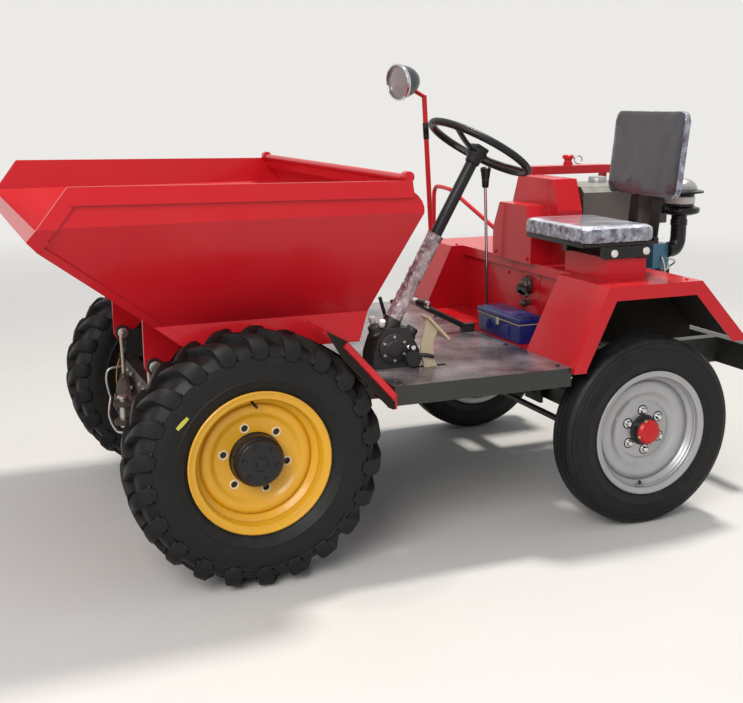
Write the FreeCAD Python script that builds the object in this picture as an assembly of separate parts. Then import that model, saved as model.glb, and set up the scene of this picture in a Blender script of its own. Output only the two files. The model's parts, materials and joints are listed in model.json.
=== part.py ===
import FreeCAD, Part
import math
import os

# Small front-tipping site dumper, full size, millimetres.
# X runs forward to the skip's lip, Y to the driver's left, Z up.
# Stations along X are measured from the front axle while the pieces are made,
# and save() moves them so that the origin lies under the middle of the box.

os.makedirs("parts", exist_ok=True)

# Overall layout
WHEELBASE = 1410.0
LIP_REACH = 640.0
TAIL_OVERHANG = 640.0
AXLE_TO_DECK = 197.0
DECK_HALF_WIDTH = 700.0
SHEET = 5.0
RUN_GAP = 0.1
MOVE_GAP = 6.0

# Front lugged tyres
FRONT_TYRE_RADIUS = 403.0
FRONT_TYRE_WIDTH = 205.0
FRONT_TRACK = 1238.0
LUG_HEIGHT = 27.0
LUG_COUNT = 18
LUG_THICKNESS = 40.0
FRONT_RIM_SEAT = 203.0
FRONT_RIM_FLANGE = 226.0
FRONT_RIM_WIDTH = 170.0

# Rear ribbed tyres
REAR_TYRE_RADIUS = 338.0
REAR_TYRE_WIDTH = 130.0
REAR_TRACK = 1310.0
REAR_RIM_SEAT = 203.0
REAR_RIM_FLANGE = 222.0
REAR_RIM_WIDTH = 124.0
RIM_SHEET = 6.0

# Axles and steering
AXLE_TUBE_R = 44.0
AXLE_TUBE_END = 455.0
AXLE_NOSE = 210.0
AXLE_NOSE_R = 58.0
BACKPLATE = 10.0
FRONT_SPINDLE_R = 30.0
REAR_SPINDLE_R = 19.0
KINGPIN_INSET = 125.0
KINGPIN_R = 14.0
KNUCKLE_BOSS_R = 27.0
KNUCKLE_BOSS_HEIGHT = 80.0
STEER_ARM = 120.0
TIE_ROD_R = 12.0
YOKE_PLATE = 14.0
YOKE_GAP = 0.5
AXLE_PIVOT_R = 18.0

# Frame
RAIL_OUTER = 315.0
RAIL_FLANGE = 50.0
RAIL_DEPTH = 100.0
RAIL_SHEET = 6.0
REST_GAP = 0.3
FRAME_NOSE = 245.0
TOW_HOLE_R = 16.0
TOW_EYE_X = 290.0
TOW_EYE_DROP = 40.0
TOW_BORE_R = 13.0
TOW_LIP = 14.0
TOW_LIP_REACH = 40.0
TOW_LIP_HALF = 34.0
TOW_ARCH_R = 62.0
TYRE_TO_DECK = 37.0
DECK_REAR_OFFSET = 325.0
DECK_SKIRT = 45.0
DECK_EDGE = 64.0

# Skip
SKIP_SHEET = 5.0
MUDGUARD_INNER = 545.0
SKIP_UPPER_WALL = 110.0
SKIP_TOP_HALF = 752.0
SKIP_LOWER_WALL = 338.0
SKIP_FOLD_HALF = 742.0
SKIP_OVER_TYRE = 2.0
SKIP_CREASE_HALF = 494.0
SKIP_OVER_DECK = 112.0
SKIP_BOTTOM_HALF = 506.0
SKIP_OVERRUN = 60.0
SKIP_BAND = 50.0
SKIP_BAND_PROUD = 7.0
SKIP_ROLL_R = 12.0
LIP_KERB = 40.0
MOUTH_BAND = 44.0
SLOPE_BAND = 24.0
SLOPE_BAND_PROUD = 3.0
PIVOT_X = 234.0
PIVOT_OVER_DECK = 44.0
PIVOT_PIN_R = 13.0
PIVOT_EYE_R = 30.0
EAR_CENTRE = 292.0
EAR_SHEET = 12.0
POST_GAP = 5.0
POST_SHEET = 12.0

# Body
FENDER_RISE = 266.0
FENDER_OVERHANG = 20.0
FENDER_FRONT_OFFSET = 200.0
FENDER_BACK_OFFSET = -177.0
FENDER_FOOT_OFFSET = -390.0
FENDER_BAND = 48.0
FENDER_FOOT_DROP = 226.0
LEFT_FENDER_INNER = 400.0
RIGHT_FENDER_INNER = 470.0
BULKHEAD_OFFSET = 125.0
SHELF_REAR_OFFSET = -45.0
ENGINE_OFFSET = -190.0
FLYWHEEL_RISE = 162.0
TANK_RISE = 388.0
CLEANER_RISE = 274.0
GUARD_RAIL_RISE = 438.0
SHELF_LIP = 38.0
GUARD_FOOT_DROP = 68.0
# angle over the level and gap past the tread, seen from the front axle
GUARD_BEND = (52.5, 50.6)
GUARD_TIP = (62.9, 45.1)
GUARD_UNDER = (49.1, -2.4)
# half width, rise where the sides lean in, half width on top, whole rise over the fender
HOOD_NOSE = (150.0, 114.0, 100.0, 218.0)
HOOD_MAIN = (176.0, 200.0, 130.0, 316.0)
HOOD_NOSE_LENGTH = 99.0
HOOD_MAIN_LENGTH = 105.0
GEARBOX_LENGTH = 230.0
GEARBOX_DROP = 10.0
SHAFT_R = 20.0

# Driver's place
SEAT_Y = 409.0
SEAT_NEAR = 590.0
STAND_HEIGHT = 77.0
CUSHION_RISE = 132.0
CUSHION_THICK = 60.0
BACK_REACH = 161.0
BACK_RISE = 260.0
BACK_LEAN = 32.0
BACK_HEIGHT = 323.0
BACK_THICK = 34.0
STRAP_SHEET = 8.0
COLUMN_Y = 420.0
COLUMN_SETBACK = 115.0
COLUMN_RISE = 160.0
COLUMN_LEAN = 316.0
COLUMN_HEIGHT = 560.0
COLUMN_R = 20.0
SHAFT_END_R = 10.0
STEERING_WHEEL_R = 192.0
STEERING_RIM_R = 14.0
HUB_R = 30.0
HUB_DEPTH = 62.0
PEDAL_Y = 480.0
PEDAL_SHEET = 10.0
PEDAL_SETBACK = 230.0
KNOB_Y = 60.0
KNOB_RISE = 172.0
GEAR_SETBACK = 77.0
GEAR_Y = -135.0
GEAR_HEIGHT = 540.0
GEAR_KNOB = 72.0
LEVER_REACH = 247.0
LEVER_RISE = 126.0
BOX_SETBACK = 70.0
BOX_LENGTH = 328.0
BOX_DEPTH = 120.0
BOX_HEIGHT = 100.0
BOX_LID = 28.0
POST_SETBACK = 73.0
POST_INSET = 42.0
POST_HEIGHT = 630.0
LAMP_REACH = 246.0
LAMP_INSET = 74.0
LAMP_RISE = 684.0
LAMP_R = 77.0
RAIL_HEIGHT = 244.0

DECK_TOP = FRONT_TYRE_RADIUS + AXLE_TO_DECK
DECK_FRONT = -(FRONT_TYRE_RADIUS + TYRE_TO_DECK)
REAR_AXLE_X = -WHEELBASE
TAIL_X = REAR_AXLE_X - TAIL_OVERHANG
FRONT_AXLE_SHIFT = -(LIP_REACH + TAIL_X) / 2.0
RAIL_TOP = DECK_TOP - DECK_SKIRT
RAIL_BOTTOM = RAIL_TOP - RAIL_DEPTH
RAIL_INNER = RAIL_OUTER - RAIL_FLANGE
FRONT_HALF_TRACK = FRONT_TRACK / 2.0
REAR_HALF_TRACK = REAR_TRACK / 2.0
KINGPIN_HALF_TRACK = REAR_HALF_TRACK - KINGPIN_INSET
FENDER_OUTER = DECK_HALF_WIDTH + FENDER_OVERHANG
DECK_REAR = REAR_AXLE_X + DECK_REAR_OFFSET
BULKHEAD_X = REAR_AXLE_X + BULKHEAD_OFFSET
SHELF_REAR = REAR_AXLE_X + SHELF_REAR_OFFSET
SHELF_FRONT = BULKHEAD_X + 20.0
ENGINE_X = REAR_AXLE_X + ENGINE_OFFSET
HOOD_FRONT = BULKHEAD_X + 49.0
HOOD_STEP = HOOD_FRONT - HOOD_NOSE_LENGTH
HOOD_REAR = HOOD_STEP - HOOD_MAIN_LENGTH
SEAT_X = REAR_AXLE_X + 47.0
GEARBOX_REAR = BULKHEAD_X - 25.0
TOW_HOLE_Z = RAIL_BOTTOM + RAIL_DEPTH / 2.0
POST_INNER = EAR_CENTRE - EAR_SHEET / 2.0 - POST_GAP
POST_OUTER = EAR_CENTRE + EAR_SHEET / 2.0 + POST_GAP
YOKE_HALF = KNUCKLE_BOSS_HEIGHT / 2.0 + YOKE_GAP
TOW_EYE_Z = RAIL_BOTTOM - TOW_EYE_DROP
SKIP_BOTTOM_Z = DECK_TOP + SKIP_OVER_DECK
SKIP_CREASE_Z = 2.0 * FRONT_TYRE_RADIUS + SKIP_OVER_TYRE
SKIP_FOLD_Z = SKIP_CREASE_Z + SKIP_LOWER_WALL
SKIP_TOP_Z = SKIP_FOLD_Z + SKIP_UPPER_WALL
PIVOT_Z = DECK_TOP + PIVOT_OVER_DECK
FENDER_TOP = DECK_TOP + FENDER_RISE
FENDER_FOOT_Z = FENDER_TOP - FENDER_FOOT_DROP
GUARD_FOOT_Z = DECK_TOP - GUARD_FOOT_DROP
FLYWHEEL_Z = DECK_TOP + FLYWHEEL_RISE
TANK_TOP = FLYWHEEL_Z + TANK_RISE
CLEANER_Z = FLYWHEEL_Z + CLEANER_RISE
GUARD_RAIL_Z = FLYWHEEL_Z + GUARD_RAIL_RISE
GEARBOX_Z = RAIL_BOTTOM - GEARBOX_DROP
STAND_TOP = FENDER_TOP + STAND_HEIGHT
CUSHION_Z = FENDER_TOP + CUSHION_RISE
CUSHION_TOP = CUSHION_Z + CUSHION_THICK
BACK_FOOT = (SEAT_X - BACK_REACH, FENDER_TOP + BACK_RISE)
BACK_HEAD = (BACK_FOOT[0] - BACK_LEAN, BACK_FOOT[1] + BACK_HEIGHT)
COLUMN_FOOT = (DECK_FRONT - COLUMN_SETBACK, DECK_TOP + COLUMN_RISE)
WHEEL_CENTRE = (COLUMN_FOOT[0] - COLUMN_LEAN, COLUMN_FOOT[1] + COLUMN_HEIGHT)
PEDAL_FOOT = DECK_FRONT - PEDAL_SETBACK
KNOB_Z = DECK_TOP + KNOB_RISE
GEAR_X = BULKHEAD_X + GEAR_SETBACK
POST_X = BULKHEAD_X + POST_SETBACK
POST_Y = POST_INSET - FENDER_OUTER

X_AXIS = FreeCAD.Vector(1, 0, 0)
Y_AXIS = FreeCAD.Vector(0, 1, 0)
Z_AXIS = FreeCAD.Vector(0, 0, 1)
LAMP_CENTRE = FreeCAD.Vector(BULKHEAD_X + LAMP_REACH, LAMP_INSET - FENDER_OUTER, FENDER_TOP + LAMP_RISE)


def vec(x, y, z):
    return FreeCAD.Vector(x, y, z)


def save(name, shape):
    """Writes one node, moved from axle stations to the part's own frame."""
    moved = shape.removeSplitter() if shape.Solids else shape
    moved = moved.copy()
    moved.translate(vec(FRONT_AXLE_SHIFT, 0, 0))
    solids = moved.Solids
    result = solids[0] if len(solids) == 1 else Part.makeCompound(solids)
    result.exportStep("parts/" + name + ".step")
    box = result.BoundBox
    print(f"{name:24s} solids {len(solids)} valid {result.isValid()} "
          f"x {box.XMin:.0f}..{box.XMax:.0f} y {box.YMin:.0f}..{box.YMax:.0f} z {box.ZMin:.0f}..{box.ZMax:.0f}")


def block(x0, x1, y0, y1, z0, z1):
    low = vec(min(x0, x1), min(y0, y1), min(z0, z1))
    return Part.makeBox(abs(x1 - x0), abs(y1 - y0), abs(z1 - z0), low)


def rod(start, end, radius):
    """A round bar between two points."""
    way = end - start
    return Part.makeCylinder(radius, way.Length, start, way)


def prism_y(points, y0, y1):
    """Extrudes an (x, z) outline from y0 to y1."""
    wire = Part.makePolygon([vec(x, y0, z) for x, z in points + points[:1]])
    return Part.Face(wire).extrude(vec(0, y1 - y0, 0))


def prism_x(points, x0, x1):
    """Extrudes a (y, z) outline from x0 to x1."""
    wire = Part.makePolygon([vec(x0, y, z) for y, z in points + points[:1]])
    return Part.Face(wire).extrude(vec(x1 - x0, 0, 0))


def ring(profile, centre, side=1):
    """Turns a closed (radius, outboard) outline round a wheel's axis."""
    points = [vec(centre.x + r, centre.y + side * out, centre.z) for r, out in profile + profile[:1]]
    return Part.Face(Part.makePolygon(points)).revolve(centre, Y_AXIS, 360)


def disc(centre, radius, out0, out1, side=1):
    """A flat round disc across a wheel's axis, between two outboard distances."""
    start = vec(centre.x, centre.y + side * out0, centre.z)
    return Part.makeCylinder(radius, abs(out1 - out0), start, vec(0, side * math.copysign(1, out1 - out0), 0))


def mirror_y(shape):
    return shape.mirror(vec(0, 0, 0), Y_AXIS)


def offset_line(points, distance):
    """Moves an open (x, z) line to its left by a distance, with mitred corners."""
    sides = []
    for (x0, z0), (x1, z1) in zip(points, points[1:]):
        length = math.hypot(x1 - x0, z1 - z0)
        nx = -(z1 - z0) / length * distance
        nz = (x1 - x0) / length * distance
        sides.append(((x0 + nx, z0 + nz), (x1 + nx, z1 + nz)))
    moved = [sides[0][0]]
    for (a, b), (c, d) in zip(sides, sides[1:]):
        ax, az = b[0] - a[0], b[1] - a[1]
        cx, cz = d[0] - c[0], d[1] - c[1]
        t = ((c[0] - a[0]) * cz - (c[1] - a[1]) * cx) / (ax * cz - az * cx)
        moved.append((a[0] + t * ax, a[1] + t * az))
    moved.append(sides[-1][1])
    return moved


def band_between(line, distance):
    """The closed outline between an open line and its offset."""
    return line + offset_line(line, distance)[::-1]


def pipe(points, radius, bend):
    """A round pipe along straight runs with one bend radius at each corner."""
    edges = []
    last = points[0]
    for before, corner, after in zip(points, points[1:], points[2:]):
        a = (before - corner).normalize()
        b = (after - corner).normalize()
        half = math.acos(max(-1.0, min(1.0, a.dot(b)))) / 2.0
        reach = bend / math.tan(half)
        start = corner + a * reach
        end = corner + b * reach
        middle_way = (a + b).normalize()
        middle = corner + middle_way * (bend / math.sin(half) - bend)
        edges.append(Part.makeLine(last, start))
        edges.append(Part.Arc(start, middle, end).toShape())
        last = end
    edges.append(Part.makeLine(last, points[-1]))
    path = Part.Wire(edges)
    section = Part.Wire([Part.makeCircle(radius, points[0], points[1] - points[0])])
    return path.makePipeShell([section], True, False)


def make_rails():
    """Two channel rails, open inward, each with a stand that the lowered skip sits on."""
    outline = [
        (RAIL_INNER, RAIL_BOTTOM), (RAIL_OUTER, RAIL_BOTTOM), (RAIL_OUTER, RAIL_TOP), (RAIL_INNER, RAIL_TOP),
        (RAIL_INNER, RAIL_TOP - RAIL_SHEET), (RAIL_OUTER - RAIL_SHEET, RAIL_TOP - RAIL_SHEET),
        (RAIL_OUTER - RAIL_SHEET, RAIL_BOTTOM + RAIL_SHEET), (RAIL_INNER, RAIL_BOTTOM + RAIL_SHEET),
    ]
    rail = prism_x(outline, TAIL_X + RAIL_FLANGE, FRAME_NOSE)
    stand = prism_y([(-290.0, RAIL_TOP - RAIL_SHEET), (-230.0, RAIL_TOP - RAIL_SHEET),
                     (-230.0, skip_underside(-230.0) - REST_GAP), (-290.0, skip_underside(-290.0) - REST_GAP)],
                    RAIL_INNER, RAIL_OUTER)
    left = rail.fuse(stand)
    save("frame_rails", Part.makeCompound([left, mirror_y(left)]))


def make_cross_beams():
    """Box beams between the rails' webs, two of them under the engine, and the tail beam."""
    reach = RAIL_OUTER - RAIL_SHEET
    low = RAIL_BOTTOM + RAIL_SHEET
    high = RAIL_TOP - RAIL_SHEET
    beams = []
    for x0 in (FRAME_NOSE - 60.0, DECK_FRONT - 90.0, ENGINE_X + 40.0, ENGINE_X - 170.0):
        outer = block(x0, x0 + 50.0, -reach, reach, low, high)
        inner = block(x0 + RAIL_SHEET, x0 + 50.0 - RAIL_SHEET, -reach, reach, low + RAIL_SHEET, high - RAIL_SHEET)
        beams.append(outer.cut(inner))
    save("cross_beams", Part.makeCompound(beams))
    rear = block(TAIL_X, TAIL_X + RAIL_FLANGE, -480.0, 480.0, RAIL_BOTTOM, RAIL_TOP)
    hole = Part.makeCylinder(TOW_HOLE_R, RAIL_FLANGE, vec(TAIL_X, 0, TOW_HOLE_Z), X_AXIS)
    save("cross_beam_rear", rear.cut(hole))


def make_hinge_posts():
    """Two forked posts on the rails' noses with the pins that carry the skip."""
    base_top = RAIL_TOP + POST_SHEET
    base = block(150.0, FRAME_NOSE - 5.0, POST_INNER - POST_SHEET, POST_OUTER + POST_SHEET, RAIL_TOP, base_top)
    shape = base
    for inner in (POST_INNER - POST_SHEET, POST_OUTER):
        cheek = block(160.0, PIVOT_X - 8.0, inner, inner + POST_SHEET, base_top, PIVOT_Z + 10.0)
        eye = Part.makeCylinder(PIVOT_EYE_R - 4.0, POST_SHEET, vec(PIVOT_X, inner, PIVOT_Z), Y_AXIS)
        shape = shape.fuse([cheek, eye])
    pin_start = POST_INNER - POST_SHEET - 6.0
    pin_length = POST_OUTER + POST_SHEET + 10.0 - pin_start
    pin = Part.makeCylinder(PIVOT_PIN_R, pin_length, vec(PIVOT_X, pin_start, PIVOT_Z), Y_AXIS)
    left = shape.fuse(pin)
    save("hinge_posts", Part.makeCompound([left, mirror_y(left)]))


def make_tow_jaw():
    """A cast towing jaw under the frame's nose, with an upright pin hole through its two lips."""
    seat = RAIL_BOTTOM + RAIL_SHEET
    back = block(FRAME_NOSE - 50.0, FRAME_NOSE - 20.0, -55.0, 55.0, TOW_EYE_Z - TOW_LIP_REACH, seat)
    arch = Part.makeCylinder(TOW_ARCH_R, 110.0, vec(FRAME_NOSE - 35.0, -55.0, TOW_EYE_Z + 8.0), Y_AXIS)
    arch = arch.common(block(0.0, TOW_EYE_X, -60.0, 60.0, TOW_EYE_Z, seat))
    shape = back.fuse(arch)
    for z0 in (TOW_EYE_Z - TOW_LIP_REACH, TOW_EYE_Z + TOW_LIP_REACH - TOW_LIP):
        lip = block(FRAME_NOSE - 30.0, TOW_EYE_X, -TOW_LIP_HALF, TOW_LIP_HALF, z0, z0 + TOW_LIP)
        nose = Part.makeCylinder(TOW_LIP_HALF, TOW_LIP, vec(TOW_EYE_X, 0, z0), Z_AXIS)
        shape = shape.fuse([lip, nose])
    mouth = block(FRAME_NOSE - 18.0, TOW_EYE_X + 60.0, -70.0, 70.0, TOW_EYE_Z - TOW_LIP_REACH + TOW_LIP,
                  TOW_EYE_Z + TOW_LIP_REACH - TOW_LIP)
    bore = Part.makeCylinder(TOW_BORE_R, 300.0, vec(TOW_EYE_X, 0, TOW_EYE_Z - 150.0), Z_AXIS)
    save("tow_jaw", shape.cut([mouth, bore]))


def make_front_axle():
    """The driven front axle: tube, differential housing, saddles and spindles."""
    centre = vec(0, 0, FRONT_TYRE_RADIUS)
    profile = [(0, -AXLE_TUBE_END), (AXLE_TUBE_R, -AXLE_TUBE_END), (AXLE_TUBE_R, -190), (105, -70), (132, -30),
               (132, 30), (105, 70), (AXLE_TUBE_R, 190), (AXLE_TUBE_R, AXLE_TUBE_END), (0, AXLE_TUBE_END)]
    shape = ring(profile, centre)
    nose = Part.makeCylinder(AXLE_NOSE_R, AXLE_NOSE, vec(0, 0, FRONT_TYRE_RADIUS), -X_AXIS)
    shape = shape.fuse(nose)
    for side in (-1, 1):
        plate = disc(centre, 118.0, AXLE_TUBE_END, AXLE_TUBE_END + BACKPLATE, side)
        spindle = disc(centre, FRONT_SPINDLE_R, AXLE_TUBE_END, FRONT_HALF_TRACK + 20.0, side)
        saddle_y = side * (RAIL_INNER + RAIL_OUTER) / 2.0
        saddle = block(-60.0, 60.0, saddle_y - 30.0, saddle_y + 30.0, FRONT_TYRE_RADIUS, RAIL_BOTTOM)
        shape = shape.fuse([plate, spindle, saddle])
    save("front_axle", shape)


def lug_prisms(centre, side):
    """Slanted bars round the tread, the two rows half a pitch apart."""
    inner = FRONT_TYRE_RADIUS - LUG_HEIGHT - 40.0
    outer = FRONT_TYRE_RADIUS + 10.0
    half = FRONT_TYRE_WIDTH / 2.0 + 5.0
    sweep = 78.0
    bars = []
    for row in (-1, 1):
        for index in range(LUG_COUNT):
            # along the tread, across the tread
            outline = [(0.0, -row * 8.0), (LUG_THICKNESS, -row * 8.0),
                       (LUG_THICKNESS - sweep, row * half), (-sweep - 8.0, row * half)]
            wire = Part.makePolygon([vec(centre.x + u, centre.y + w, centre.z + inner) for u, w in outline + outline[:1]])
            bar = Part.Face(wire).extrude(vec(0, 0, outer - inner))
            turn = 360.0 / LUG_COUNT * (index + (0.5 if row > 0 else 0.0))
            bar.rotate(centre, Y_AXIS, turn)
            bars.append(bar)
    return bars


def front_tyre(side):
    """A lugged drive tyre, its bars trimmed by the tread's outer form."""
    centre = vec(0, side * FRONT_HALF_TRACK, FRONT_TYRE_RADIUS)
    r = FRONT_TYRE_RADIUS
    w = FRONT_TYRE_WIDTH / 2.0
    base = r - LUG_HEIGHT
    seat = FRONT_RIM_SEAT
    bead = FRONT_RIM_WIDTH / 2.0 - RIM_SHEET
    half_profile = [(seat, bead), (FRONT_RIM_FLANGE + 2.0, bead), (280.0, w - 4.0), (320.0, w - 2.0),
                    (base - 5.0, w - 24.0), (base, 0.0)]
    profile = half_profile + [(a, -b) for a, b in half_profile[-2::-1]]
    # the hollow under the tread, closed by the rim
    inner_half = [(seat, bead - 20.0), (300.0, w - 24.0), (base - 24.0, w - 36.0)]
    inner = inner_half + [(a, -b) for a, b in inner_half[::-1]]
    cap_half = [(base - 60.0, w - 3.0), (base - 34.0, w), (r - 16.0, w - 10.0), (r - 2.0, w - 30.0), (r, w - 60.0)]
    cap = [(base - 75.0, w - 14.0)] + cap_half + [(a, -b) for a, b in cap_half[::-1]] + [(base - 75.0, 14.0 - w)]
    envelope = ring(cap, centre)
    lugs = Part.makeCompound(lug_prisms(centre, side)).common(envelope)
    return ring(profile, centre).fuse(lugs.Solids).cut(ring(inner, centre))


def front_wheel(side):
    """Dished steel wheel with its drum, hub and hub cap."""
    centre = vec(0, side * FRONT_HALF_TRACK, FRONT_TYRE_RADIUS)
    t = RIM_SHEET
    w = FRONT_RIM_WIDTH / 2.0
    f = FRONT_RIM_FLANGE
    s = FRONT_RIM_SEAT - RUN_GAP
    outer_line = [(f, w), (f, w - t), (s, w - t), (s, w - 38), (183, w - 52), (183, 30 - w), (s, 18 - w), (s, t - w),
                  (f, t - w), (f, -w)]
    inner_line = [(s - t, -w), (s - t, 20 - w), (183 - t, 32 - w), (183 - t, w - 54), (s - t, w - 40), (s - t, w)]
    rim = ring(outer_line + inner_line, centre, side)
    bore = FRONT_SPINDLE_R + RUN_GAP
    neck = 74
    dish = [(183 - t / 2, 20), (183 - t / 2, 28), (150, 34), (128, 30), (96, 18), (neck, 18), (neck, 10), (99, 10),
            (131, 22), (150, 26), (176, 20)]
    web = ring(dish, centre, side)
    hub_in = AXLE_TUBE_END + BACKPLATE + MOVE_GAP - FRONT_HALF_TRACK
    hub = [(bore, hub_in), (112, hub_in), (112, -60), (neck, -40), (neck, -6), (118, -6), (118, 10), (neck, 10),
           (neck, 18), (82, 18), (82, 60), (70, 68), (66, 80), (0, 80), (0, 22), (bore, 22)]
    drum = ring(hub, centre, side)
    holes = []
    for index in range(6):
        angle = math.radians(index * 60.0 + 35.0)
        start = vec(centre.x + 103.0 * math.cos(angle), centre.y - 100.0, centre.z + 103.0 * math.sin(angle))
        holes.append(Part.makeCylinder(9.0, 200.0, start, Y_AXIS))
    return rim.fuse([web.cut(holes), drum])


def rear_tyre(side):
    """A ribbed steering tyre with plain shoulders."""
    centre = vec(REAR_AXLE_X, side * REAR_HALF_TRACK, REAR_TYRE_RADIUS)
    r = REAR_TYRE_RADIUS
    w = REAR_TYRE_WIDTH / 2.0
    bead = REAR_RIM_WIDTH / 2.0 - RIM_SHEET
    half = [(REAR_RIM_SEAT, bead), (REAR_RIM_FLANGE + 2.0, bead), (255.0, w - 2.0), (285.0, w), (308.0, w - 3.0),
            (326.0, w - 14.0), (334.0, w - 24.0), (r, w - 40.0)]
    profile = half + [(a, -b) for a, b in half[::-1]]
    inner_half = [(REAR_RIM_SEAT, bead - 18.0), (REAR_RIM_FLANGE + 6.0, bead - 17.0), (270.0, w - 16.0),
                  (r - 24.0, w - 26.0)]
    inner = inner_half + [(a, -b) for a, b in inner_half[::-1]]
    return ring(profile, centre).cut(ring(inner, centre))


def rear_wheel(side):
    """Pressed steel wheel with its hub."""
    centre = vec(REAR_AXLE_X, side * REAR_HALF_TRACK, REAR_TYRE_RADIUS)
    t = RIM_SHEET - 1.0
    w = REAR_RIM_WIDTH / 2.0
    f = REAR_RIM_FLANGE
    s = REAR_RIM_SEAT - RUN_GAP
    outer_line = [(f, w), (f, w - RIM_SHEET), (s, w - RIM_SHEET), (s, w - 30), (186, w - 42), (186, 24 - w), (s, 14 - w),
                  (s, RIM_SHEET - w), (f, RIM_SHEET - w), (f, -w)]
    inner_line = [(s - t, -w), (s - t, 16 - w), (186 - t, 26 - w), (186 - t, w - 44), (s - t, w - 32), (s - t, w)]
    rim = ring(outer_line + inner_line, centre, side)
    bore = REAR_SPINDLE_R + RUN_GAP
    neck = 40
    dish = [(186 - t / 2, 8), (186 - t / 2, 15), (160, 22), (140, 22), (118, 6), (96, 4), (80, 12), (neck, 12), (neck, 5),
            (78, 5), (94, -3), (120, -1), (141, 15), (158, 15), (178, 8)]
    web = ring(dish, centre, side)
    hub = [(bore, -56), (52, -56), (52, -20), (62, -8), (62, 5), (neck, 5), (neck, 12), (58, 12), (58, 20), (42, 24),
           (42, 52), (30, 60), (0, 60), (0, 26), (bore, 26)]
    return rim.fuse([web, ring(hub, centre, side)])


def make_wheels():
    for side, word in ((1, "left"), (-1, "right")):
        save("front_tyre_" + word, front_tyre(side))
        save("front_wheel_" + word, front_wheel(side))
        save("rear_tyre_" + word, rear_tyre(side))
        save("rear_wheel_" + word, rear_wheel(side))


def make_rear_axle():
    """The steering axle: a box beam with a forked end and kingpin on each side."""
    z = REAR_TYRE_RADIUS
    x = REAR_AXLE_X
    inner = KINGPIN_HALF_TRACK - KNUCKLE_BOSS_R - 12.0
    shape = block(x - 32.0, x + 32.0, -inner, inner, z - 34.0, z + 34.0)
    boss = Part.makeCylinder(46.0, 90.0, vec(x - 45.0, 0, z), X_AXIS)
    shape = shape.fuse(boss)
    for side in (-1, 1):
        y = side * KINGPIN_HALF_TRACK
        parts = [block(x - 32.0, x + 32.0, side * (inner - 14.0), side * inner, z - YOKE_HALF - YOKE_PLATE,
                       z + YOKE_HALF + YOKE_PLATE)]
        for low in (z + YOKE_HALF, z - YOKE_HALF - YOKE_PLATE):
            parts.append(block(x - 30.0, x + 30.0, side * (inner - 14.0), y, low, low + YOKE_PLATE))
            parts.append(Part.makeCylinder(30.0, YOKE_PLATE, vec(x, y, low), Z_AXIS))
        pin_low = z - YOKE_HALF - YOKE_PLATE - 8.0
        parts.append(Part.makeCylinder(KINGPIN_R, 2 * (z - pin_low), vec(x, y, pin_low), Z_AXIS))
        shape = shape.fuse(parts)
    shape = shape.cut(Part.makeCylinder(AXLE_PIVOT_R + RUN_GAP, 100.0, vec(x - 50.0, 0, z), X_AXIS))
    save("rear_axle_beam", shape)


def make_axle_bracket():
    """The bracket and pin that carry the rear axle at its middle."""
    z = REAR_TYRE_RADIUS
    x = REAR_AXLE_X
    low = RAIL_BOTTOM + RAIL_SHEET
    reach = RAIL_OUTER - RAIL_SHEET
    shape = block(x - 50.0, x + 50.0, -reach, reach, low, low + 50.0)
    for x0 in (x - 45.3 - 14.0, x + 45.3):
        shape = shape.fuse(block(x0, x0 + 14.0, -60.0, 60.0, z - 50.0, low + 50.0))
    pin = Part.makeCylinder(AXLE_PIVOT_R, 150.0, vec(x - 75.0, 0, z), X_AXIS)
    save("rear_axle_bracket", shape.fuse(pin))


def make_knuckles():
    """Steering knuckles: kingpin boss, wheel spindle and steering arm."""
    z = REAR_TYRE_RADIUS
    x = REAR_AXLE_X
    half = KNUCKLE_BOSS_HEIGHT / 2.0
    for side, word in ((1, "left"), (-1, "right")):
        y = side * KINGPIN_HALF_TRACK
        boss = Part.makeCylinder(KNUCKLE_BOSS_R, 2 * half, vec(x, y, z - half), Z_AXIS)
        spindle = rod(vec(x, y, z), vec(x, side * (REAR_HALF_TRACK + 24.0), z), REAR_SPINDLE_R)
        collar = rod(vec(x, y, z), vec(x, side * (REAR_HALF_TRACK - 62.0), z), 25.0)
        low = z - half + MOVE_GAP
        arm = block(x + 10.0, x + STEER_ARM, y - 12.0, y + 12.0, low, low + 16.0)
        eye = Part.makeCylinder(20.0, 16.0, vec(x + STEER_ARM, y, low), Z_AXIS)
        shape = boss.fuse([spindle, collar, arm, eye])
        shape = shape.cut(Part.makeCylinder(KINGPIN_R + RUN_GAP, 4 * half, vec(x, y, z - 2 * half), Z_AXIS))
        save("knuckle_" + word, shape)


def make_tie_rod():
    """The rod across the rear axle that joins the two steering arms."""
    x = REAR_AXLE_X + STEER_ARM
    z = REAR_TYRE_RADIUS - KNUCKLE_BOSS_HEIGHT / 2.0 + MOVE_GAP - 0.5 - TIE_ROD_R
    reach = KINGPIN_HALF_TRACK
    shape = rod(vec(x, -reach, z), vec(x, reach, z), TIE_ROD_R)
    for side in (-1, 1):
        end = Part.makeCylinder(18.0, 2 * TIE_ROD_R, vec(x, side * reach, z - TIE_ROD_R), Z_AXIS)
        shape = shape.fuse(end)
    save("tie_rod", shape)


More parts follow.
